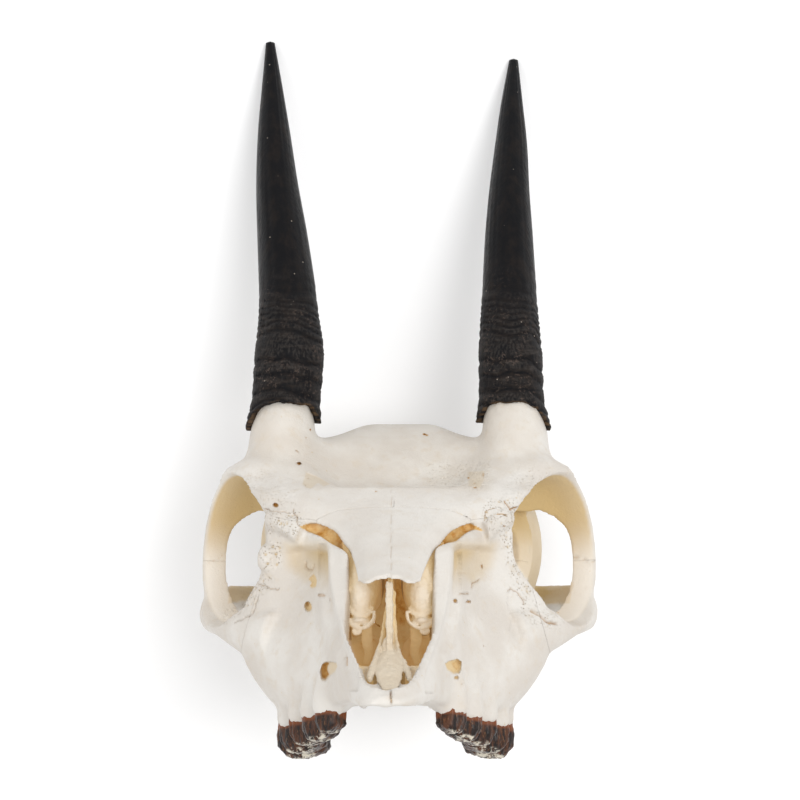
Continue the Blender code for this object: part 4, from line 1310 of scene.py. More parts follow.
    def hollows(self) -> list:
        """The spaces that are cut out of the fused skull."""
        hollows = [
            Forms.loft(self.half_rings(self.PASSAGE, self.passage_outline)),
            Forms.limb([(0, -3, 26.5, 6.4, 6), (0, 6, 26.5, 6.2, 5.6), (0, 14, 28, 4.5, 4.2)]),
            Forms.limb([(0, 46, 13, 4.6, 3.6), (0, 58, 14, 4.8, 3.8), (0, 66, 15.5, 4.6, 3.6),
                        (0, 74, 17, 4, 3.6)]),
        ]
        fissure = closed_curve([(2.1, 104), (3.8, 106), (4.0, 112), (3.0, 119), (2.1, 117), (1.9, 110)], 32)
        sided = [
            self.orbit_bowl(),
            Forms.limb([(22, 58, 37, 8, 8), (16, 51, 36, 6, 7), (11.5, 45.5, 36, 2.5, 3)], side=(1, -1, 0)),
            Forms.loft([[Vector((x, y, z)) for x, y in fissure] for z in (4, 14)]),
        ]
        for shape in sided:
            hollows += Forms.pair(shape)
        for gap in self.GAPS:
            hollows.append(self.picture.shaft(closed_curve(gap, 72), 97.0, 77.5))
        return hollows

    def sculpt(self) -> bpy.types.Object:
        """Fuses the lumps, cuts the hollows and works the surface.

        Returns:
            The skull as one body, with its colour layers.
        """
        skull = Bench.fused(Bench.body("skull", self.lumps()), self.voxel, 5)
        self._soften(skull)
        hollows = Bench.fused(Bench.body("hollows", self.hollows()), 0.4, 1)
        places = self.leaned(hollows)
        walls = BVHTree.FromPolygons(places.tolist(), [p.vertices for p in hollows.data.polygons])
        Bench.cut(skull, hollows)
        later = Bench.fused(Bench.body("later", self.later_lumps()), 0.35, 1)
        Bench.cut(skull, later, "UNION")
        Bench.fused(skull, self.voxel, 3)
        skull.data.vertices.foreach_set("co", self.leaned(skull).astype(np.float32).ravel())
        LOG.info("skull fused: %d faces", len(skull.data.polygons))
        work = Relief(skull, self.picture)
        # How enclosed each place is; the bone's material paints shade by it.
        Bench.store(skull, "hollow", work.hollows())
        self._refine(skull, work.seen)
        work = Relief(skull, self.picture)
        work.fossae()
        work.grain()
        work.zones()
        work.dents()
        work.lines()
        work.sockets(self)
        work.chambers(self, walls)
        work.write()
        return skull

    @staticmethod
    def lean(place: np.ndarray) -> np.ndarray:
        """How far the muzzle bends to one side and each socket's inner edge stands in.

        Args:
            place: rows of x, y and z.

        Returns:
            The shift along x of each row.
        """
        x, y, z = place.T
        wide = np.abs(x)
        edge = eased(15.0, 22.0, wide) * eased(34.0, 28.0, wide) * eased(56.0, 66.0, y) * eased(90.0, 80.0, y)
        edge *= eased(26.0, 36.0, z) * eased(55.0, 47.0, z)
        return edge * np.where(x > 0, -0.8, 2.6) - 0.45 * eased(100.0, 122.0, y)

    @classmethod
    def leaned(cls, thing: bpy.types.Object) -> np.ndarray:
        """The places of a mesh's vertices once the two sides differ as the real ones do."""
        place = Relief.rows(thing.data.vertices, "co")
        place[:, 0] += cls.lean(place)
        return place

    @staticmethod
    def _soften(thing: bpy.types.Object) -> None:
        """Rounds the feet of the horn stems and the walls of the tooth roots, where lumps meet."""
        bm = bmesh.new()
        bm.from_mesh(thing.data)
        for inner in (0.0, 1.5, 3.0):
            stems = [v for v in bm.verts if 46 < v.co.y < 69 and 12 + inner < abs(v.co.x) < 31 - inner
                     and 51.5 + 0.6 * inner < v.co.z < 61 - inner]
            roots = [v for v in bm.verts if 56 < v.co.y < 103 and abs(v.co.x) > 6.5 + 0.3 * inner
                     and 4 < v.co.z < 19 - 2 * inner]
            for verts, rounds in ((stems, 14), (roots, 4)):
                for _ in range(rounds):
                    bmesh.ops.smooth_vert(bm, verts=verts, factor=0.5, use_axis_x=True, use_axis_y=True,
                                          use_axis_z=True)
        bm.to_mesh(thing.data)
        bm.free()

    @staticmethod
    def _refine(thing: bpy.types.Object, seen: np.ndarray) -> None:
        """Halves the faces that the photograph shows.

        Args:
            thing: the skull.
            seen: one flag per vertex.
        """
        bm = bmesh.new()
        bm.from_mesh(thing.data)
        bm.verts.ensure_lookup_table()
        edges = [e for e in bm.edges
                 if seen[e.verts[0].index] and seen[e.verts[1].index] and e.verts[0].co.y > 51]
        made = bmesh.ops.subdivide_edges(bm, edges=edges, cuts=1, use_grid_fill=True)
        verts = [g for g in made["geom"] if isinstance(g, bmesh.types.BMVert)]
        bmesh.ops.triangulate(bm, faces=[f for f in bm.faces if len(f.verts) > 4])
        bmesh.ops.smooth_vert(bm, verts=verts, factor=0.5, use_axis_x=True, use_axis_y=True, use_axis_z=True)
        bm.to_mesh(thing.data)
        bm.free()

    def sheets(self) -> list:
        """The thin cuts between the bones."""
        wide, thin = 45.0, self.seam
        half = thin / 2
        return [
            Forms.sheet([(38, 67), (42, 56), (44.3, 46), (45, 36.6), (64, 36.6), (68, 40.5), (72, 44.6),
                         (77, 42.6), (82.0, 40.2)], 0, -wide, wide, thin),
            Forms.sheet([(62.0, 37), (62.0, 24), (50.5, 24), (50.5, -3)], 0, -24, 24, thin),
            Forms.sheet([(62.0, 28), (62.0, 21)], 0, -26.6, 26.6, thin),
            Forms.sheet([(105.5, 26), (112.5, 3)], 0, -14, 14, thin),
            Forms.prism([(-half, 50), (half, 50), (half, 111), (-half, 111)], 2, 2, 24),
            Forms.prism([(-half, 61.9), (half, 61.9), (half, 66.5), (-half, 66.5)], 2, 18, 40),
            Forms.prism([(-half, 65), (half, 65), (half, 95), (-half, 95)], 2, 18, 44.9),
            Forms.sheet([(29, 13), (26.6, 21), (25.2, 26), (24.2, 30), (28, 31.6), (37, 32)], 1, 54, 82,
                        thin),
            Forms.sheet([(-29, 13), (-26.6, 21), (-25.2, 26), (-24.2, 30), (-28, 31.6), (-37, 32)], 1, 54, 82,
                        thin),
            Forms.prism([(26, 34 - half), (37, 34 - half), (37, 34 + half), (26, 34 + half)], 2, 22, 38),
            Forms.prism([(-37, 34 - half), (-26, 34 - half), (-26, 34 + half), (-37, 34 + half)], 2, 22, 38),
        ]

    def bones(self, skull: bpy.types.Object) -> dict[str, bpy.types.Object]:
        """Parts the skull along its seams.

        Args:
            skull: the sculpted body, which is used up.

        Returns:
            The bones by the names of their nodes.
        """
        names = Relief.LAYERS + ("hollow",)
        tree = kdtree.KDTree(len(skull.data.vertices))
        for i, vert in enumerate(skull.data.vertices):
            tree.insert(vert.co, i)
        tree.balance()
        stored = {}
        for name in names:
            values = np.empty(len(skull.data.vertices), np.float32)
            skull.data.attributes[name].data.foreach_get("value", values)
            stored[name] = values
        for shape in self.sheets():
            Bench.cut(skull, Bench.body("sheet", [shape]))
        Bench.cut(skull, Bench.body("place of the nasals", [self.nasals(0.04, 3.0)]))
        bm = bmesh.new()
        bm.from_mesh(skull.data)
        groups = Bench.islands(bm)[: len(self.SEEDS) + 6]
        LOG.info("islands: %s", [len(g) for g in groups])
        taken = {}
        bones = {}
        for name, seed in self.SEEDS.items():
            target = Vector(seed)
            group = min(groups, key=lambda g: min((f.calc_center_median() - target).length for f in g))
            keep = {f.index for f in group}
            other = taken.setdefault(id(group), name)
            if other != name:
                LOG.warning("%s hangs together with %s", name, other)
            part = bm.copy()
            part.faces.ensure_lookup_table()
            bmesh.ops.delete(part, geom=[f for f in part.faces if f.index not in keep], context="FACES")
            bone = Bench.body(name + "_bone", [part])
            nearest = np.array([tree.find(v.co)[1] for v in bone.data.vertices])
            for layer, values in stored.items():
                Bench.store(bone, layer, values[nearest])
            bones[name] = bone
        bm.free()
        bpy.data.objects.remove(skull)
        bones["nasal_bones"] = self.nasal_bones()
        return bones


@dataclass(frozen=True)
class HornForm:
    """One horn: rows of z, x, y and radius from its base to its tip."""

    side: Side
    rows: Table
    depth: float = 1.08
    margin: float = 60.6
    arch: float = 4.3

    def centre(self, z: float) -> tuple[Vector, float]:
        """Middle and radius of the horn at a height.

        Args:
            z: the height.

        Returns:
            The middle and the radius.
        """
        x, y, radius = spline(self.rows, z)
        return Vector((x, y, z)), radius

    def rim(self, angle: float) -> float:
        """Height of the ragged lower edge on one side of the horn.

        Args:
            angle: 0 to the animal's right, a quarter turn to the front.

        Returns:
            z of the edge.
        """
        outward = math.cos(angle) * self.side.value
        end = 4.4 * outward**5 if outward > 0 else 2.9 * abs(outward)**7
        front = self.margin + self.arch - end
        if math.sin(angle) < 0:
            front = self.margin + self.arch - (4.4 if outward > 0 else 2.9) + 1.0 * (1 - outward**2)
        rag = 0.3 * noise.fractal(Vector((3 * math.cos(angle), 3 * math.sin(angle), 5.0 * self.side.value)),
                                   0.5, 2.3, 4)
        return front + rag

    def build(self, around: int = 160) -> bpy.types.Object:
        """The sheath, with its rings, grooves and ragged rim.

        Args:
            around: points round the horn.

        Returns:
            The object.
        """
        top = self.rows[-1][0]
        angles = [2 * math.pi * k / around for k in range(around)]
        rims = [self.rim(a) for a in angles]
        levels = [0.0] + [(k / 230)**0.97 for k in range(1, 231)]
        rings = []
        for inner in (12.0, 8.0, 4.0, 1.5, 0.4):
            rings.append([self._wall(a, rim + inner, top, -1.0) for a, rim in zip(angles, rims)])
        rings.append([self._wall(a, rim + 0.05, top, -0.75) for a, rim in zip(angles, rims)])
        for level in levels:
            rings.append([self._wall(a, rim + (top - rim) * level, top, 0.0) for a, rim in zip(angles, rims)])
        thing = Bench.body("horn_sheath_%s_grown" % self.side.word, [Forms.loft(rings)])
        height, ridge = [], []
        for vert in thing.data.vertices:
            middle = self.centre(vert.co.z)[0]
            angle = math.atan2((vert.co.y - middle.y) / self.depth, vert.co.x - middle.x)
            height.append(vert.co.z - self.rim(angle))
            ridge.append(self.ridge(angle, vert.co.z))
        Bench.store(thing, "above", height)
        Bench.store(thing, "ridge", ridge)
        return thing

    def ridge(self, angle: float, z: float) -> float:
        """How far a place stands up between the growth rings.

        Args:
            angle: round the horn.
            z: its height.

        Returns:
            0 in a groove, up to 1 between grooves.
        """
        spin = Vector((1.6 * math.cos(angle), 1.6 * math.sin(angle), z * 0.11 + 9 * self.side.value))
        lean = z - 1.5 * math.sin(angle + 0.3) + 1.3 * noise.noise(spin)
        phase = lean * (0.50 + 0.06 * math.sin(lean * 0.31))
        return abs(math.sin(math.pi * phase / 2.3))**0.5

    def _wall(self, angle: float, z: float, top: float, offset: float) -> Vector:
        """A point of the sheath's wall.

        Args:
            angle: round the horn.
            z: its height.
            top: the height of the tip.
            offset: millimetres outside the plain wall; inside is negative.

        Returns:
            The point.
        """
        middle, radius = self.centre(min(z, top))
        side = self.side.value
        swell = 0.0
        if offset >= 0.0:
            spin = Vector((1.6 * math.cos(angle), 1.6 * math.sin(angle), z * 0.11 + 9 * side))
            rings = eased(96.0, 72.0, z)
            swell += 0.42 * rings * (self.ridge(angle, z) - 0.75)
            swell += 0.12 * rings * noise.noise(Vector((spin.x * 2, spin.y * 2, z * 2.2)))
            swell += 0.06 * noise.noise(Vector((5.5 * math.cos(angle), 5.5 * math.sin(angle),
                                                z * 0.05 - 4 * side)))
            swell += 0.3 * eased(66.5, 61.0, z)
        r = max(radius + offset + swell, 0.05)
        if z >= top - 0.01:
            r = 0.12
        return middle + Vector((math.cos(angle) * r, math.sin(angle) * r * self.depth, 0))


@dataclass(frozen=True)
class ToothRow:
    """The cheek teeth of one side, six worn crowns in a row.

    TEETH are rows of length, width and height of the worn edge, from the front. PATH gives x and y along
    the row.
    """

    side: Side

    TEETH = ((5.6, 4.4, 4.0), (6.4, 5.4, 2.8), (6.2, 6.6, 2.2), (8.0, 7.6, 1.0), (9.4, 8.6, 0.2),
             (9.4, 8.4, 0.8))
    PATH = ((0.0, 9.3, 98.4), (0.5, 15.6, 76.0), (1.0, 15.8, 53.0))

    @classmethod
    def lobes(cls) -> list[Row]:
        """Both lobes of each tooth: middle, turn, place along the tooth, length, width and tip."""
        found = []
        total = sum(t[0] for t in cls.TEETH)
        done = 0.0
        for length, width, tip in cls.TEETH:
            s = (done + length / 2) / total
            done += length
            x, y = spline(cls.PATH, s)
            ahead, behind = spline(cls.PATH, min(s + 0.02, 1.0)), spline(cls.PATH, max(s - 0.02, 0.0))
            turn = math.atan2(ahead[0] - behind[0], behind[1] - ahead[1])
            found += [(x, y, turn, end * length * 0.25, length, width, tip) for end in (-1, 1)]
        return found

    def shapes(self) -> list:
        """Two lobes for each tooth, with the ribs of their outer wall."""
        return [self._lobe(*lobe) for lobe in self.lobes()]

    def _lobe(self, x: float, y: float, turn: float, lobe: float, length: float, width: float,
              tip: float) -> bmesh.types.BMesh:
        """One lobe of a tooth.

        Args:
            x: the tooth's middle.
            y: the same, along the head.
            turn: how the row runs there.
            lobe: the lobe's middle along the tooth.
            length: the tooth's length.
            width: its width.
            tip: the height of its cusp.

        Returns:
            The shape.
        """
        rings = []
        for z, grow in ((9.0, 0.86), (tip + 4.0, 1.0), (tip + 2.0, 0.97), (tip + 0.9, 0.88),
                        (tip + 0.25, 0.76), (tip, 0.6)):
            ring = []
            for k in range(40):
                a = 2 * math.pi * k / 40
                rib = 1 + 0.09 * math.cos(3 * a) + 0.04 * math.cos(7 * a)
                px = 0.5 * width * grow * rib * math.cos(a) - (0.07 * width if z < tip + 1.5 else 0)
                py = lobe + 0.30 * length * grow * rib * math.sin(a)
                rise = 0.8 * eased(0.2, -0.9, math.cos(a)) if z < tip + 1 else 0.0
                ring.append(Vector((x + px * math.cos(turn) + py * math.sin(turn),
                                    y - px * math.sin(turn) + py * math.cos(turn), z + rise)))
            rings.append(ring)
        return Forms.loft(rings)

    def build(self) -> bpy.types.Object:
        """The row as one body, with the streaks and chips of the real teeth."""
        shapes = self.shapes()
        if self.side is Side.LEFT:
            shapes = [Forms.mirrored(bm) for bm in shapes]
        thing = Bench.fused(Bench.body("cheek_teeth_" + self.side.word, shapes), 0.2, 2)
        heights, gaps = [], []
        rows = sorted((y - lobe, tip) for _, y, _, lobe, _, _, tip in self.lobes())
        for vert, normal in zip(thing.data.vertices, thing.data.vertex_normals):
            co = vert.co.copy()
            streak = noise.noise(Vector((co.x * 1.3, co.y * 1.3, co.z * 0.2)))
            fine = noise.fractal(Vector((co.x * 3, co.y * 3, co.z * 0.9)), 0.6, 2.1, 3)
            vert.co = co - normal.vector * (0.22 * streak + 0.07 * fine)
            heights.append(co.z - np.interp(co.y, [r[0] for r in rows], [r[1] for r in rows]))
            gaps.append(spline(SkullForm.GUM_LINE, co.y)[0] - co.z)
        Bench.store(thing, "crown", heights)
        Bench.store(thing, "below", gaps)
        return thing


@dataclass(frozen=True)
class NoseForm:
    """What stands inside the nose: the upright plate with the vomer, and the scrolls.

    Its tubes are rows of two pixels, y and two half sizes. CHIP bounds the dark splinter, in pixels and y.
    """

    skull: SkullForm

    FOLD = ((583, 103.6), (600, 104.6), (625, 104.8), (648, 104.2))
    VOMER = (
        ((386.5, 606, 97, 0.25, 0.6), (384, 626, 99, 0.3, 0.7), (381.8, 641, 101.4, 0.35, 0.7),
         (377, 655, 104.6, 0.4, 0.7), (373.5, 664, 108.2, 0.45, 0.7), (371, 672, 112.9, 0.5, 0.6),
         (369.5, 680, 118.2, 0.5, 0.4)),
        ((394, 592, 96, 0.25, 0.6), (394.4, 620, 98.5, 0.3, 0.7), (395.8, 640, 101.2, 0.35, 0.7),
         (399, 655, 104.6, 0.4, 0.7), (404, 664, 108.2, 0.45, 0.7), (408, 672, 112.9, 0.5, 0.6),
         (410, 680, 118.2, 0.5, 0.4)),
        ((389, 645, 102.5, 0.3, 0.5), (386, 660, 107, 0.35, 0.5), (383, 676, 115.6, 0.3, 0.4)),
        ((390.5, 645, 102.5, 0.3, 0.5), (394, 660, 107, 0.35, 0.5), (398, 676, 115.6, 0.3, 0.4)),
        ((389.5, 640, 99.5, 0.7, 0.9), (389.5, 652, 103, 1.3, 0.9), (389.3, 661, 107, 1.9, 0.8),
         (389, 668, 110.9, 2.3, 0.6), (389, 675, 115.2, 2.2, 0.5), (389.5, 683, 120.2, 1.8, 0.3),
         (390, 690, 125.0, 1.2, 0.3)),
    )
    TUBES = (
        ((364.5, 568, 87.0, 2.9, 4.0), (364.5, 583, 90.0, 2.75, 4.4), (363, 596, 92.0, 2.4, 4.2),
         (361.5, 607, 92.5, 2.15, 3.4), (361, 612.5, 92.2, 1.9, 2.8)),
        ((350, 608, 94, 0.3, 0.5), (353, 613, 94.9, 0.32, 0.4), (357, 615, 95.2, 0.32, 0.35),
         (362, 615.6, 95.3, 0.32, 0.35), (368, 614, 95.1, 0.32, 0.35), (373, 608, 94.2, 0.3, 0.45)),
        ((348.6, 619, 94.9, 0.35, 0.5), (352, 625, 95.5, 0.32, 0.4), (358, 628, 95.8, 0.32, 0.4),
         (365, 627.4, 95.8, 0.32, 0.4), (371, 623, 95.6, 0.3, 0.5), (374.3, 617, 95.4, 0.28, 0.5),
         (374.3, 611, 95, 0.28, 0.5)),
        ((352, 630, 95.3, 0.3, 0.5), (356, 633.4, 95.5, 0.35, 0.4), (361.5, 631, 95.6, 0.3, 0.4)),
        ((367.5, 627, 92, 0.9, 0.5), (367, 640, 91, 1.0, 0.5), (369, 652, 90, 0.8, 0.45),
         (366, 664, 89, 0.5, 0.4)),
        ((343, 544.5, 84, 0.35, 0.7), (349, 553, 87.5, 0.45, 0.7), (352, 563, 89.5, 0.5, 0.7),
         (352.5, 573, 91, 0.5, 0.7), (351, 582, 92.5, 0.5, 0.6), (349, 592, 94, 0.4, 0.6)),
    )
    SPLINTER = ((374, 622, 96.9, 0.16, 0.2), (377, 624.5, 97.4, 0.16, 0.2), (380, 627, 98, 0.12, 0.15))
    CHIP = ((374.8, 620.0), (381.0, 630.0), 96.3)
    BALLS = ((361, 622.4, 91.0, 2.3, 5.6, 1.1),)

    def _tube(self, knots: tuple) -> bmesh.types.BMesh:
        """A tube through rows of two pixels, y and two half sizes."""
        point = self.skull.picture.point
        return Forms.limb([(*point(px, py, y), wide, high) for px, py, y, wide, high in knots], count=20)

    def _fused(self, name: str, shapes: list, front: float, tint: float, glow: float,
               seed: float) -> bpy.types.Object:
        """One crumbly body, whiter towards the front and tan, then brown, deeper in: painted shade by depth,
        with a painted glow.

        Args:
            name: its name.
            shapes: the shapes it is fused from.
            front: the y up to which it reaches.
            tint: how tan it is at its front.
            glow: how much it glows at its front, painted light standing in for light through thin bone; it
                glows more deeper in.
            seed: shifts the crumbling.

        Returns:
            The object.
        """
        thing = Bench.fused(Bench.body(name, shapes), 0.2, 1)
        work = Relief(thing, self.skull.picture)
        at = np.arange(len(work.place))
        wrinkle = work.wrinkle(at, 1.5, 4, seed)
        depth = front - work.place[:, 1]
        rough = 0.14 + 0.06 * eased(103.0, 109.0, work.place[:, 1])
        work.place -= work.normal * (rough * wrinkle)[:, None]
        patchy = work.wrinkle(at, 2.6, 2, seed + 3)
        # Painted shade by depth behind the front: whiter at the front, tan, then brown deeper in; further on,
        # a painted glow that rises deeper in.
        work.layers["tan"] = tint + (0.75 - tint) * eased(0.8, 8.0, depth + 1.6 * patchy)
        work.layers["stain"] = 0.65 * eased(6.0, 15.0, depth + 3.0 * patchy)
        work.layers["pale"] = (1 - tint) * eased(3.0, 0.6, depth)
        low, high, front = self.CHIP
        chip = ((work.spot > low) & (work.spot < high)).all(axis=1) & (work.place[:, 1] > front)
        work.tint("stain", 1.3 * chip)
        work.layers["glow"] = glow + (0.9 - glow) * eased(0.5, 6.0, depth)
        work.write()
        return thing

    def septum(self) -> bpy.types.Object:
        """The upright plate, folded in two along its front edge, with the vomer's skirt."""
        point = self.skull.picture.point
        low, high = 13.6, 3.1
        side = [(74, low + 1.5), (78, low), (99, low - 0.2), (103.5, 17), (103.8, 20), (103.2, 26.5)]
        side += [(y, self.skull.top(0, y) - high) for y in (98, 90, 84, 78)]
        shapes = [Forms.prism(side, 0, -0.3, 0.3), Forms.ball(point(387.6, 646, 103.6), (0.85, 1.0, 1.5))]
        for shift in (-2.0, 2.2):
            shapes.append(self._tube(tuple((389.4 + shift, py, y, 0.26, 0.9) for py, y in self.FOLD)))
        shapes += [self._tube(knots) for knots in self.VOMER]
        return self._fused("nose_septum_plate", shapes, 105.4, 0.35, 0.1, 2.5)

    def scroll(self, side: Side) -> bpy.types.Object:
        """The scrolls of thin bone on one side of the nose.

        Args:
            side: which side.

        Returns:
            The object.
        """
        point = self.skull.picture.point
        shapes = [self._tube(knots) for knots in self.TUBES]
        if side is Side.RIGHT:
            shapes.append(self._tube(self.SPLINTER))
        shapes += [Forms.ball(point(px, py, y), radii) for px, py, y, *radii in self.BALLS]
        if side is Side.LEFT:
            shapes = [Forms.mirrored(bm) for bm in shapes]
        return self._fused("turbinate_%s_scroll" % side.word, shapes, 97.6, 0.2, 0.6, 4.0 * side.value)


class Sock:
    """A shader socket that takes part in sums."""

    def __init__(self, tree: "Tree", socket) -> None:
        """Keeps the socket and its tree."""
        self.tree = tree
        self.socket = socket

    def _maths(self, operation: str, first, second) -> "Sock":
        """A Math node on two values.

        Args:
            operation: the node's operation.
            first: a socket or number.
            second: another.

        Returns:
            The result.
        """
        return self.tree.node("Math", {"operation": operation}, {0: first, 1: second})

    def __add__(self, other) -> "Sock":
        """The sum."""
        return self._maths("ADD", self, other)

    __radd__ = __add__

    def __sub__(self, other) -> "Sock":
        """The difference."""
        return self._maths("SUBTRACT", self, other)

    def __rsub__(self, other) -> "Sock":
        """The difference the other way round."""
        return self._maths("SUBTRACT", other, self)

    def __mul__(self, other) -> "Sock":
        """The product."""
        return self._maths("MULTIPLY", self, other)

    __rmul__ = __mul__

    def clamped(self) -> "Sock":
        """Kept between 0 and 1."""
        return self.tree.node("Clamp", {}, {0: self})

    def step(self, low: float, high: float) -> "Sock":
        """Eased from 0 at low to 1 at high.

        Args:
            low: where it is 0.
            high: where it is 1.

        Returns:
            The step.
        """
        return self.tree.node("MapRange", {"interpolation_type": "SMOOTHSTEP"},
                              {"Value": self, "From Min": low, "From Max": high, "To Min": 0.0,
                               "To Max": 1.0})


class Tree:
    """The nodes of one material."""

    def __init__(self, name: str) -> None:
        """Starts an empty material."""
        self.material = bpy.data.materials.new(name)
        self.material.use_nodes = True
        self.nodes = self.material.node_tree.nodes
        self.links = self.material.node_tree.links
        self.shader = self.nodes["Principled BSDF"]

    def node(self, kind: str, settings: dict, values: dict, out: int | str = 0) -> Sock:
        """Adds a node.

        Args:
            kind: its type without the prefix.
            settings: its own settings.
            values: values or links of its sockets, by name or number.
            out: which output is wanted.

        Returns:
            The output.
        """
        made = self.nodes.new("ShaderNode" + kind)
        for key, value in settings.items():
            setattr(made, key, value)
        for key, value in values.items():
            if isinstance(value, Sock):
                self.links.new(value.socket, made.inputs[key])
            else:
                made.inputs[key].default_value = value
        return Sock(self, made.outputs[out])

    def layer(self, name: str) -> Sock:
        """A float layer of the mesh."""
        return self.node("Attribute", {"attribute_name": name}, {}, "Fac")

    def place(self, scale: Row = (1, 1, 1)) -> Sock:
        """Object coordinates in millimetres, stretched by scale.

        Args:
            scale: how much finer the pattern is on each axis.

        Returns:
            The coordinates.
        """
        spot = self.node("TexCoord", {}, {}, "Object")
        return self.node("Mapping", {}, {"Vector": spot, "Scale": tuple(1000.0 * s for s in scale)})

    def noise(self, place: Sock, scale: float, detail: float = 3.0, rough: float = 0.55) -> Sock:
        """Cloudy noise.

        Args:
            place: coordinates.
            scale: swells per millimetre.
            detail: octaves.
            rough: how strong the finer ones are.

        Returns:
            The noise, about a half.
        """
        return self.node("TexNoise", {}, {"Vector": place, "Scale": scale, "Detail": detail,
                                          "Roughness": rough})

    def cells(self, place: Sock, scale: float) -> Sock:
        """Distance from scattered points.

        Args:
            place: coordinates.
            scale: points per millimetre.

        Returns:
            The distance.
        """
        return self.node("TexVoronoi", {}, {"Vector": place, "Scale": scale}, "Distance")

    def mix(self, factor, first, second) -> Sock:
        """A mix of two colours.

        Args:
            factor: a socket or number.
            first: a colour or socket.
            second: another.

        Returns:
            The mixed colour.
        """
        return self.node("Mix", {"data_type": "RGBA"}, {0: factor, 6: first, 7: second}, 2)

    def bump(self, height: Sock, distance: float, strength: float = 1.0, under: Sock | None = None) -> Sock:
        """A bump of some millimetres.

        Args:
            height: its height, from 0 to 1.
            distance: how many metres that is.
            strength: how much of it shows.
            under: another bump that it lies on.

        Returns:
            The normal.
        """
        values = {"Height": height, "Distance": distance, "Strength": strength}
        if under is not None:
            values["Normal"] = under
        return self.node("Bump", {}, values)

    def feed(self, **sockets) -> bpy.types.Material:
        """Connects or sets the shader's sockets, named with underscores.

        Args:
            sockets: values or links.

        Returns:
            The material.
        """
        for key, value in sockets.items():
            socket = self.shader.inputs[key.replace("_", " ")]
            if isinstance(value, Sock):
                self.links.new(value.socket, socket)
            else:
                socket.default_value = value
        return self.material


@dataclass(frozen=True)
class BoneFinish:
    """Dry bleached bone, ivory outside, with painted shade: tan in its hollows, orange-brown in its holes;
    and a painted glow.
    """

    name: str = "bone"
    ivory: Row = (0.615, 0.57, 0.515, 1)
    chalk: Row = (0.685, 0.655, 0.61, 1)
    warm: Row = (0.60, 0.525, 0.43, 1)
    tan: Row = (0.56, 0.41, 0.20, 1)
    honey: Row = (0.50, 0.29, 0.085, 1)
    amber: Row = (0.38, 0.16, 0.02, 1)
    dark: Row = (0.05, 0.022, 0.01, 1)
    base_tan: float = 0.0
    base_glow: float = 0.0

    def material(self) -> bpy.types.Material:
        """The procedural material."""
        t = Tree(self.name)
        place = t.place()
        hollow, tan = t.layer("hollow"), t.layer("tan")
        stain, rough, pale = t.layer("stain"), t.layer("rough"), t.layer("pale")
        cloud = t.noise(place, 0.09, 3)
        mottle = t.noise(place, 0.45, 4, 0.6)
        speck = t.noise(place, 2.6, 3, 0.7)
        colour = t.mix(cloud.step(0.38, 0.66), self.ivory, self.chalk)
        colour = t.mix((mottle.step(0.50, 0.74) * 0.5).clamped(), colour, self.warm)
        # Paler towards chalk where asked; inside the eye sockets that is painted light.
        colour = t.mix((pale * 0.7).clamped(), colour, self.chalk)
        # Painted shade: tan by how enclosed a place is, and wherever tan is asked for.
        depth = hollow.step(0.34, 0.92)
        deep = (depth * (0.75 + mottle * 0.5) + tan + self.base_tan).clamped()
        colour = t.mix(deep, colour, self.tan)
        # Amber and brown along the sutures, which are darker joints, and as painted shade in holes, gaps, the
        # nose and the deepest hollows; darkest of all in the darkest holes, also painted shade.
        deepest = hollow.step(0.86, 1.02)
        amber = (stain.step(0.05, 1.0) + deepest * 0.55 * mottle.step(0.35, 0.7)).clamped()
        brown = t.mix(t.noise(place, 0.8, 4, 0.7).step(0.40, 0.60), self.honey, self.amber)
        colour = t.mix(amber, colour, brown)
        colour = t.mix(stain.step(1.0, 1.5), colour, self.dark)
        pits = t.cells(place, 2.1).step(0.30, 0.12)
        pores = (pits * rough * mottle.step(0.36, 0.52)).clamped()
        colour = t.mix((pores * 0.6).clamped(), colour, self.tan)
        pinholes = (t.cells(place, 0.32).step(0.075, 0.045) * speck.step(0.5, 0.6)).clamped()
        colour = t.mix((pinholes * 0.6).clamped(), colour, self.tan)
        grain = t.noise(place, 1.3, 5, 0.65)
        under = t.bump(grain, 0.00022, 0.5)
        under = t.bump(1 - pores, 0.0003, 0.9, under)
        normal = t.bump(speck, 0.00006, 0.6, under)
        shine = (0.52 + 0.16 * grain + 0.10 * deep).clamped()
        # Painted glow: emission in chalk, tan or brown where glow is asked for, standing in for light that
        # shines through thin bone; no lamp is here.
        glow = (t.layer("glow") + self.base_glow).clamped()
        light = t.mix(glow, (0, 0, 0, 1), t.mix(amber, t.mix(pale.clamped(), self.tan, self.chalk), brown))
        return t.feed(Base_Color=colour, Roughness=shine, Normal=normal, Specular_IOR_Level=0.25,
                      Emission_Color=light, Emission_Strength=0.32)


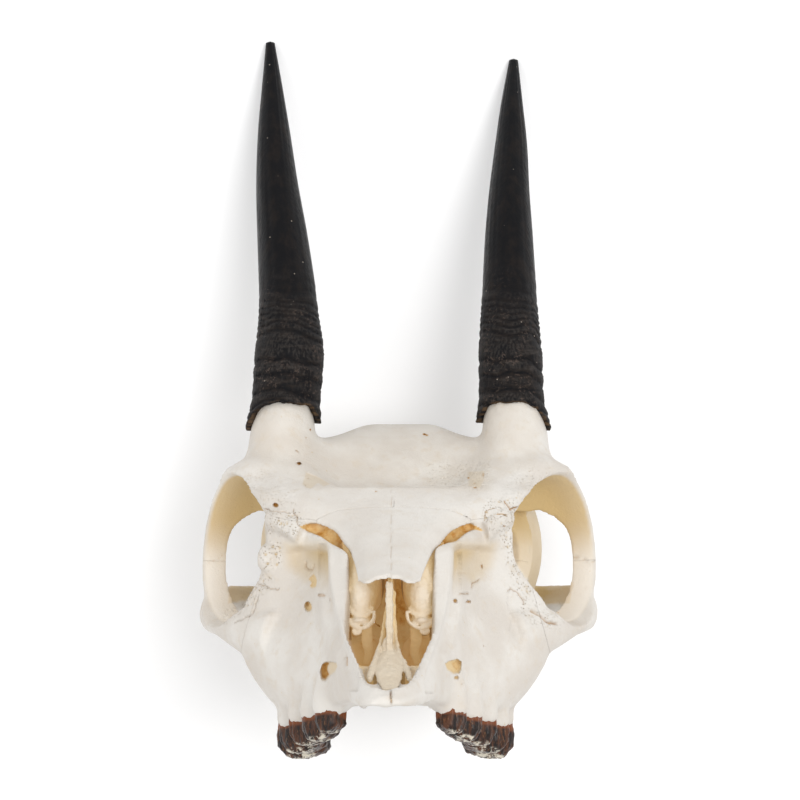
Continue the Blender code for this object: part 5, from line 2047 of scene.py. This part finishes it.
@dataclass(frozen=True)
class HornFinish:
    """Black horn with fine lengthwise fibres, browner and duller in its ringed lower third."""

    name: str = "horn"
    black: Row = (0.0035, 0.0035, 0.0045, 1)
    brown: Row = (0.022, 0.015, 0.011, 1)
    grey: Row = (0.042, 0.037, 0.034, 1)
    dust: Row = (0.10, 0.072, 0.058, 1)
    crust: Row = (0.10, 0.06, 0.03, 1)
    grit: Row = (0.35, 0.30, 0.25, 1)

    def material(self) -> bpy.types.Material:
        """The procedural material."""
        t = Tree(self.name)
        place = t.place()
        long = t.place((1.0, 0.05, 1.0))
        across = t.place((0.25, 1.6, 0.25))
        fibre = t.noise(long, 2.2, 4, 0.6)
        coarse = t.noise(long, 0.6, 3, 0.6)
        rings = t.noise(across, 0.8, 4, 0.65)
        height = t.node("SeparateXYZ", {}, {0: t.node("TexCoord", {}, {}, "Object")}, "Y")
        low = height.step(0.026, 0.006)
        lowest = height.step(-0.004, -0.013)
        ridge = t.layer("ridge")
        colour = t.mix((coarse.step(0.4, 0.75) * 0.35 + low * rings.step(0.4, 0.7) * 0.5).clamped(),
                       self.black, self.brown)
        # Greyer on the ring ridges of the lower third.
        ridge_grey = low * ridge.step(0.55, 0.95) * (fibre.step(0.42, 0.62) * 0.55 + rings.step(0.5, 0.7) * 0.4)
        colour = t.mix(ridge_grey.clamped(), colour, self.grey)
        flecks = t.noise(place, 1.5, 4, 0.75).step(0.52, 0.66) * t.noise(place, 0.16, 2).step(0.45, 0.62)
        colour = t.mix((flecks * low * 0.7 + lowest * rings.step(0.5, 0.7) * 0.4).clamped(), colour,
                       self.dust)
        # Black in the ring grooves of the lower third: painted shade.
        colour = t.mix((low * ridge.step(0.5, 0.2)).clamped(), colour, self.black)
        edge = (t.layer("above") + t.noise(place, 1.2, 3) * 0.9).step(0.95, 0.4)
        colour = t.mix((edge * rings.step(0.40, 0.60) * 0.8).clamped(), colour, self.crust)
        specks = (t.cells(place, 0.55).step(0.09, 0.05) * t.noise(place, 0.3, 2).step(0.5, 0.62)).clamped()
        colour = t.mix((specks * 0.8).clamped(), colour, self.grit)
        under = t.bump(fibre, 0.00012, 0.5)
        normal = t.bump(rings * low, 0.0003, 0.7, under)
        shine = (0.34 + 0.2 * fibre.step(0.4, 0.7) + 0.22 * low).clamped()
        return t.feed(Base_Color=colour, Roughness=shine, Normal=normal, Specular_IOR_Level=0.12)


@dataclass(frozen=True)
class ToothFinish:
    """Cheek teeth stained black and brown, with pale worn tips."""

    name: str = "teeth"
    black: Row = (0.009, 0.005, 0.004, 1)
    brown: Row = (0.075, 0.026, 0.010, 1)
    amber: Row = (0.24, 0.105, 0.04, 1)
    rust: Row = (0.20, 0.055, 0.015, 1)
    cream: Row = (0.62, 0.57, 0.47, 1)

    def material(self) -> bpy.types.Material:
        """The procedural material."""
        t = Tree(self.name)
        streaks = t.place((1.0, 0.22, 1.0))
        place = t.place()
        band = t.noise(streaks, 1.1, 4, 0.7)
        fine = t.noise(streaks, 3.4, 3, 0.7)
        crown = t.layer("crown")
        colour = t.mix(band.step(0.42, 0.62), self.black, self.brown)
        colour = t.mix((fine.step(0.56, 0.72) * 0.7).clamped(), colour, self.amber)
        rust = (t.layer("below") + band * 0.8).step(1.1, 0.5)
        colour = t.mix((rust * 0.8).clamped(), colour, self.rust)
        patch = t.noise(place, 0.5, 3)
        tips = ((crown + patch * 1.6).step(1.4, 0.9) * t.noise(place, 0.9, 3, 0.7).step(0.44, 0.58)).clamped()
        colour = t.mix(tips, colour, self.cream)
        normal = t.bump(band + fine * 0.5, 0.0002, 0.7)
        return t.feed(Base_Color=colour, Roughness=(0.22 + 0.3 * band).clamped(), Normal=normal,
                      Specular_IOR_Level=0.3)


@dataclass(frozen=True)
class Studio:
    """A plain pale floor, soft light from the upper right and the photograph's camera."""

    lie: Lie
    picture: Picture
    floor_size: Row = (6.0, 6.0, 0.02)
    floor_drop: float = 0.0103
    paper: Row = (0.95, 0.95, 0.955, 1)
    paper_clouds: Row = (0.95, 0.95, 0.95, 1)
    sensor: float = 36.0
    key: tuple = ((0.38, 0.16, 1.25), 0.5, 7.1)
    fill: tuple = ((-0.7, -0.1, 1.1), 1.5, 3.0)
    sky: float = 0.84

    def floor(self) -> bpy.types.Object:
        """The floor, a thin pale slab below the skull."""
        bm = bmesh.new()
        bmesh.ops.create_cube(bm, size=1.0)
        bmesh.ops.scale(bm, vec=self.floor_size, verts=bm.verts)
        bmesh.ops.translate(bm, vec=(0, 0, -self.floor_drop), verts=bm.verts)
        thing = Bench.body("floor", [bm])
        t = Tree("paper")
        colour = t.mix(t.noise(t.place(), 0.004, 2), self.paper, self.paper_clouds)
        thing.data.materials.append(t.feed(Base_Color=colour, Roughness=0.9, Specular_IOR_Level=0.1))
        return thing

    def camera(self) -> bpy.types.Object:
        """The camera at the photograph's viewing angle."""
        data = bpy.data.cameras.new("camera")
        data.sensor_width = self.sensor
        data.lens = self.sensor * self.picture.focal / (2 * self.picture.half)
        data.clip_start, data.clip_end = 0.01, 20.0
        thing = bpy.data.objects.new("camera", data)
        bpy.context.scene.collection.objects.link(thing)
        to_part = self.lie.matrix()
        toward, right, top = ((to_part.to_3x3() @ a).normalized() for a in self.picture.axes())
        turn = Matrix((right, top, toward)).transposed().to_4x4()
        thing.matrix_world = Matrix.Translation(to_part @ self.picture.eye()) @ turn
        bpy.context.scene.camera = thing
        return thing

    def light(self, name: str, place: Row, size: float, power: float,
              aim: Row = (0, 0, 0.05)) -> bpy.types.Object:
        """A soft square light.

        Args:
            name: its name.
            place: where it hangs.
            size: its side in metres.
            power: watts.
            aim: what it points at.

        Returns:
            The light.
        """
        data = bpy.data.lights.new(name, "AREA")
        data.size = size
        data.energy = power
        thing = bpy.data.objects.new(name, data)
        bpy.context.scene.collection.objects.link(thing)
        thing.location = place
        thing.rotation_euler = (Vector(aim) - Vector(place)).to_track_quat("-Z", "Y").to_euler()
        return thing

    def build(self) -> None:
        """Everything round the skull."""
        self.floor()
        self.camera()
        self.light("key", *self.key)
        self.light("fill", *self.fill)
        world = bpy.data.worlds.new("studio")
        world.use_nodes = True
        sky = world.node_tree.nodes["Background"].inputs
        sky["Color"].default_value = (1, 1, 1, 1)
        sky["Strength"].default_value = self.sky
        bpy.context.scene.world = world
        bpy.context.scene.view_settings.view_transform = "Standard"


@dataclass
class SkullModel:
    """The whole object: bones, horns, teeth and what is in the nose."""

    lie: Lie
    picture: Picture
    pieces: list = field(default_factory=list)

    HORN_RIGHT = ((60.8, 21.3, 51.2, 6.6), (66, 20.9, 49.2, 6.4), (76.4, 20.5, 45.5, 6.3),
                  (83, 20.8, 43.2, 5.6), (89.2, 21.3, 41.0, 5.3), (99.6, 22.5, 37.1, 4.75),
                  (110.2, 23.8, 33.1, 4.0), (120.9, 24.7, 29.2, 3.1), (130, 25.3, 25.9, 2.05),
                  (140.3, 26.0, 22.4, 0.8))
    HORN_LEFT = ((60.8, -21.1, 51.0, 6.6), (66, -20.8, 49.1, 6.1), (76.2, -20.6, 45.5, 5.8),
                 (83, -20.5, 43.1, 5.35), (89, -20.5, 41.0, 5.0), (99.4, -20.5, 37.1, 4.5),
                 (107.8, -20.6, 33.9, 3.9), (118, -21.0, 29.55, 3.1), (127, -21.2, 25.9, 2.1),
                 (136.7, -21.6, 21.66, 0.8))

    def _finish(self, thing: bpy.types.Object, material: bpy.types.Material, slot: str, *nodes: str) -> None:
        """Lays a piece down, dresses it and hides the CAD nodes it stands for.

        Args:
            thing: the piece.
            material: its material.
            slot: not used.
            nodes: the CAD nodes it replaces.
        """
        self.lie.place(thing)
        thing.data.materials.clear()
        thing.data.materials.append(material)
        for polygon in thing.data.polygons:
            polygon.use_smooth = True
        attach(thing, "root")
        if nodes:
            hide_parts(*nodes)
        thing.data.calc_loop_triangles()
        LOG.info("%s: %d triangles", thing.name, len(thing.data.loop_triangles))
        self.pieces.append(thing)

    def build(self) -> None:
        """Makes every piece."""
        bone = BoneFinish().material()
        form = SkullForm(self.picture)
        for name, thing in form.bones(form.sculpt()).items():
            self._finish(thing, bone, "bone", name)
        horn = HornFinish().material()
        for side, rows in ((Side.RIGHT, self.HORN_RIGHT), (Side.LEFT, self.HORN_LEFT)):
            self._finish(HornForm(side, rows).build(), horn, "horn", "horn_sheath_" + side.word)
        teeth = ToothFinish().material()
        for side in Side:
            self._finish(ToothRow(side).build(), teeth, "bone")
        nose = NoseForm(form)
        # The pieces inside the nose get a little painted glow all over and a touch more tan.
        inner = BoneFinish("inner_bone", base_tan=0.08, base_glow=0.15).material()
        self._finish(nose.septum(), inner, "scroll", "nose_septum")
        for side in Side:
            self._finish(nose.scroll(side), inner, "scroll", "turbinate_" + side.word)


def main() -> None:
    """Builds the skull and its studio."""
    logging.basicConfig(level=logging.INFO, format="%(message)s")
    lie, picture = Lie(), Picture()
    model = SkullModel(lie, picture)
    model.build()
    Studio(lie, picture).build()
    LOG.info("%d pieces", len(model.pieces))


if __name__ == "__main__":
    main()
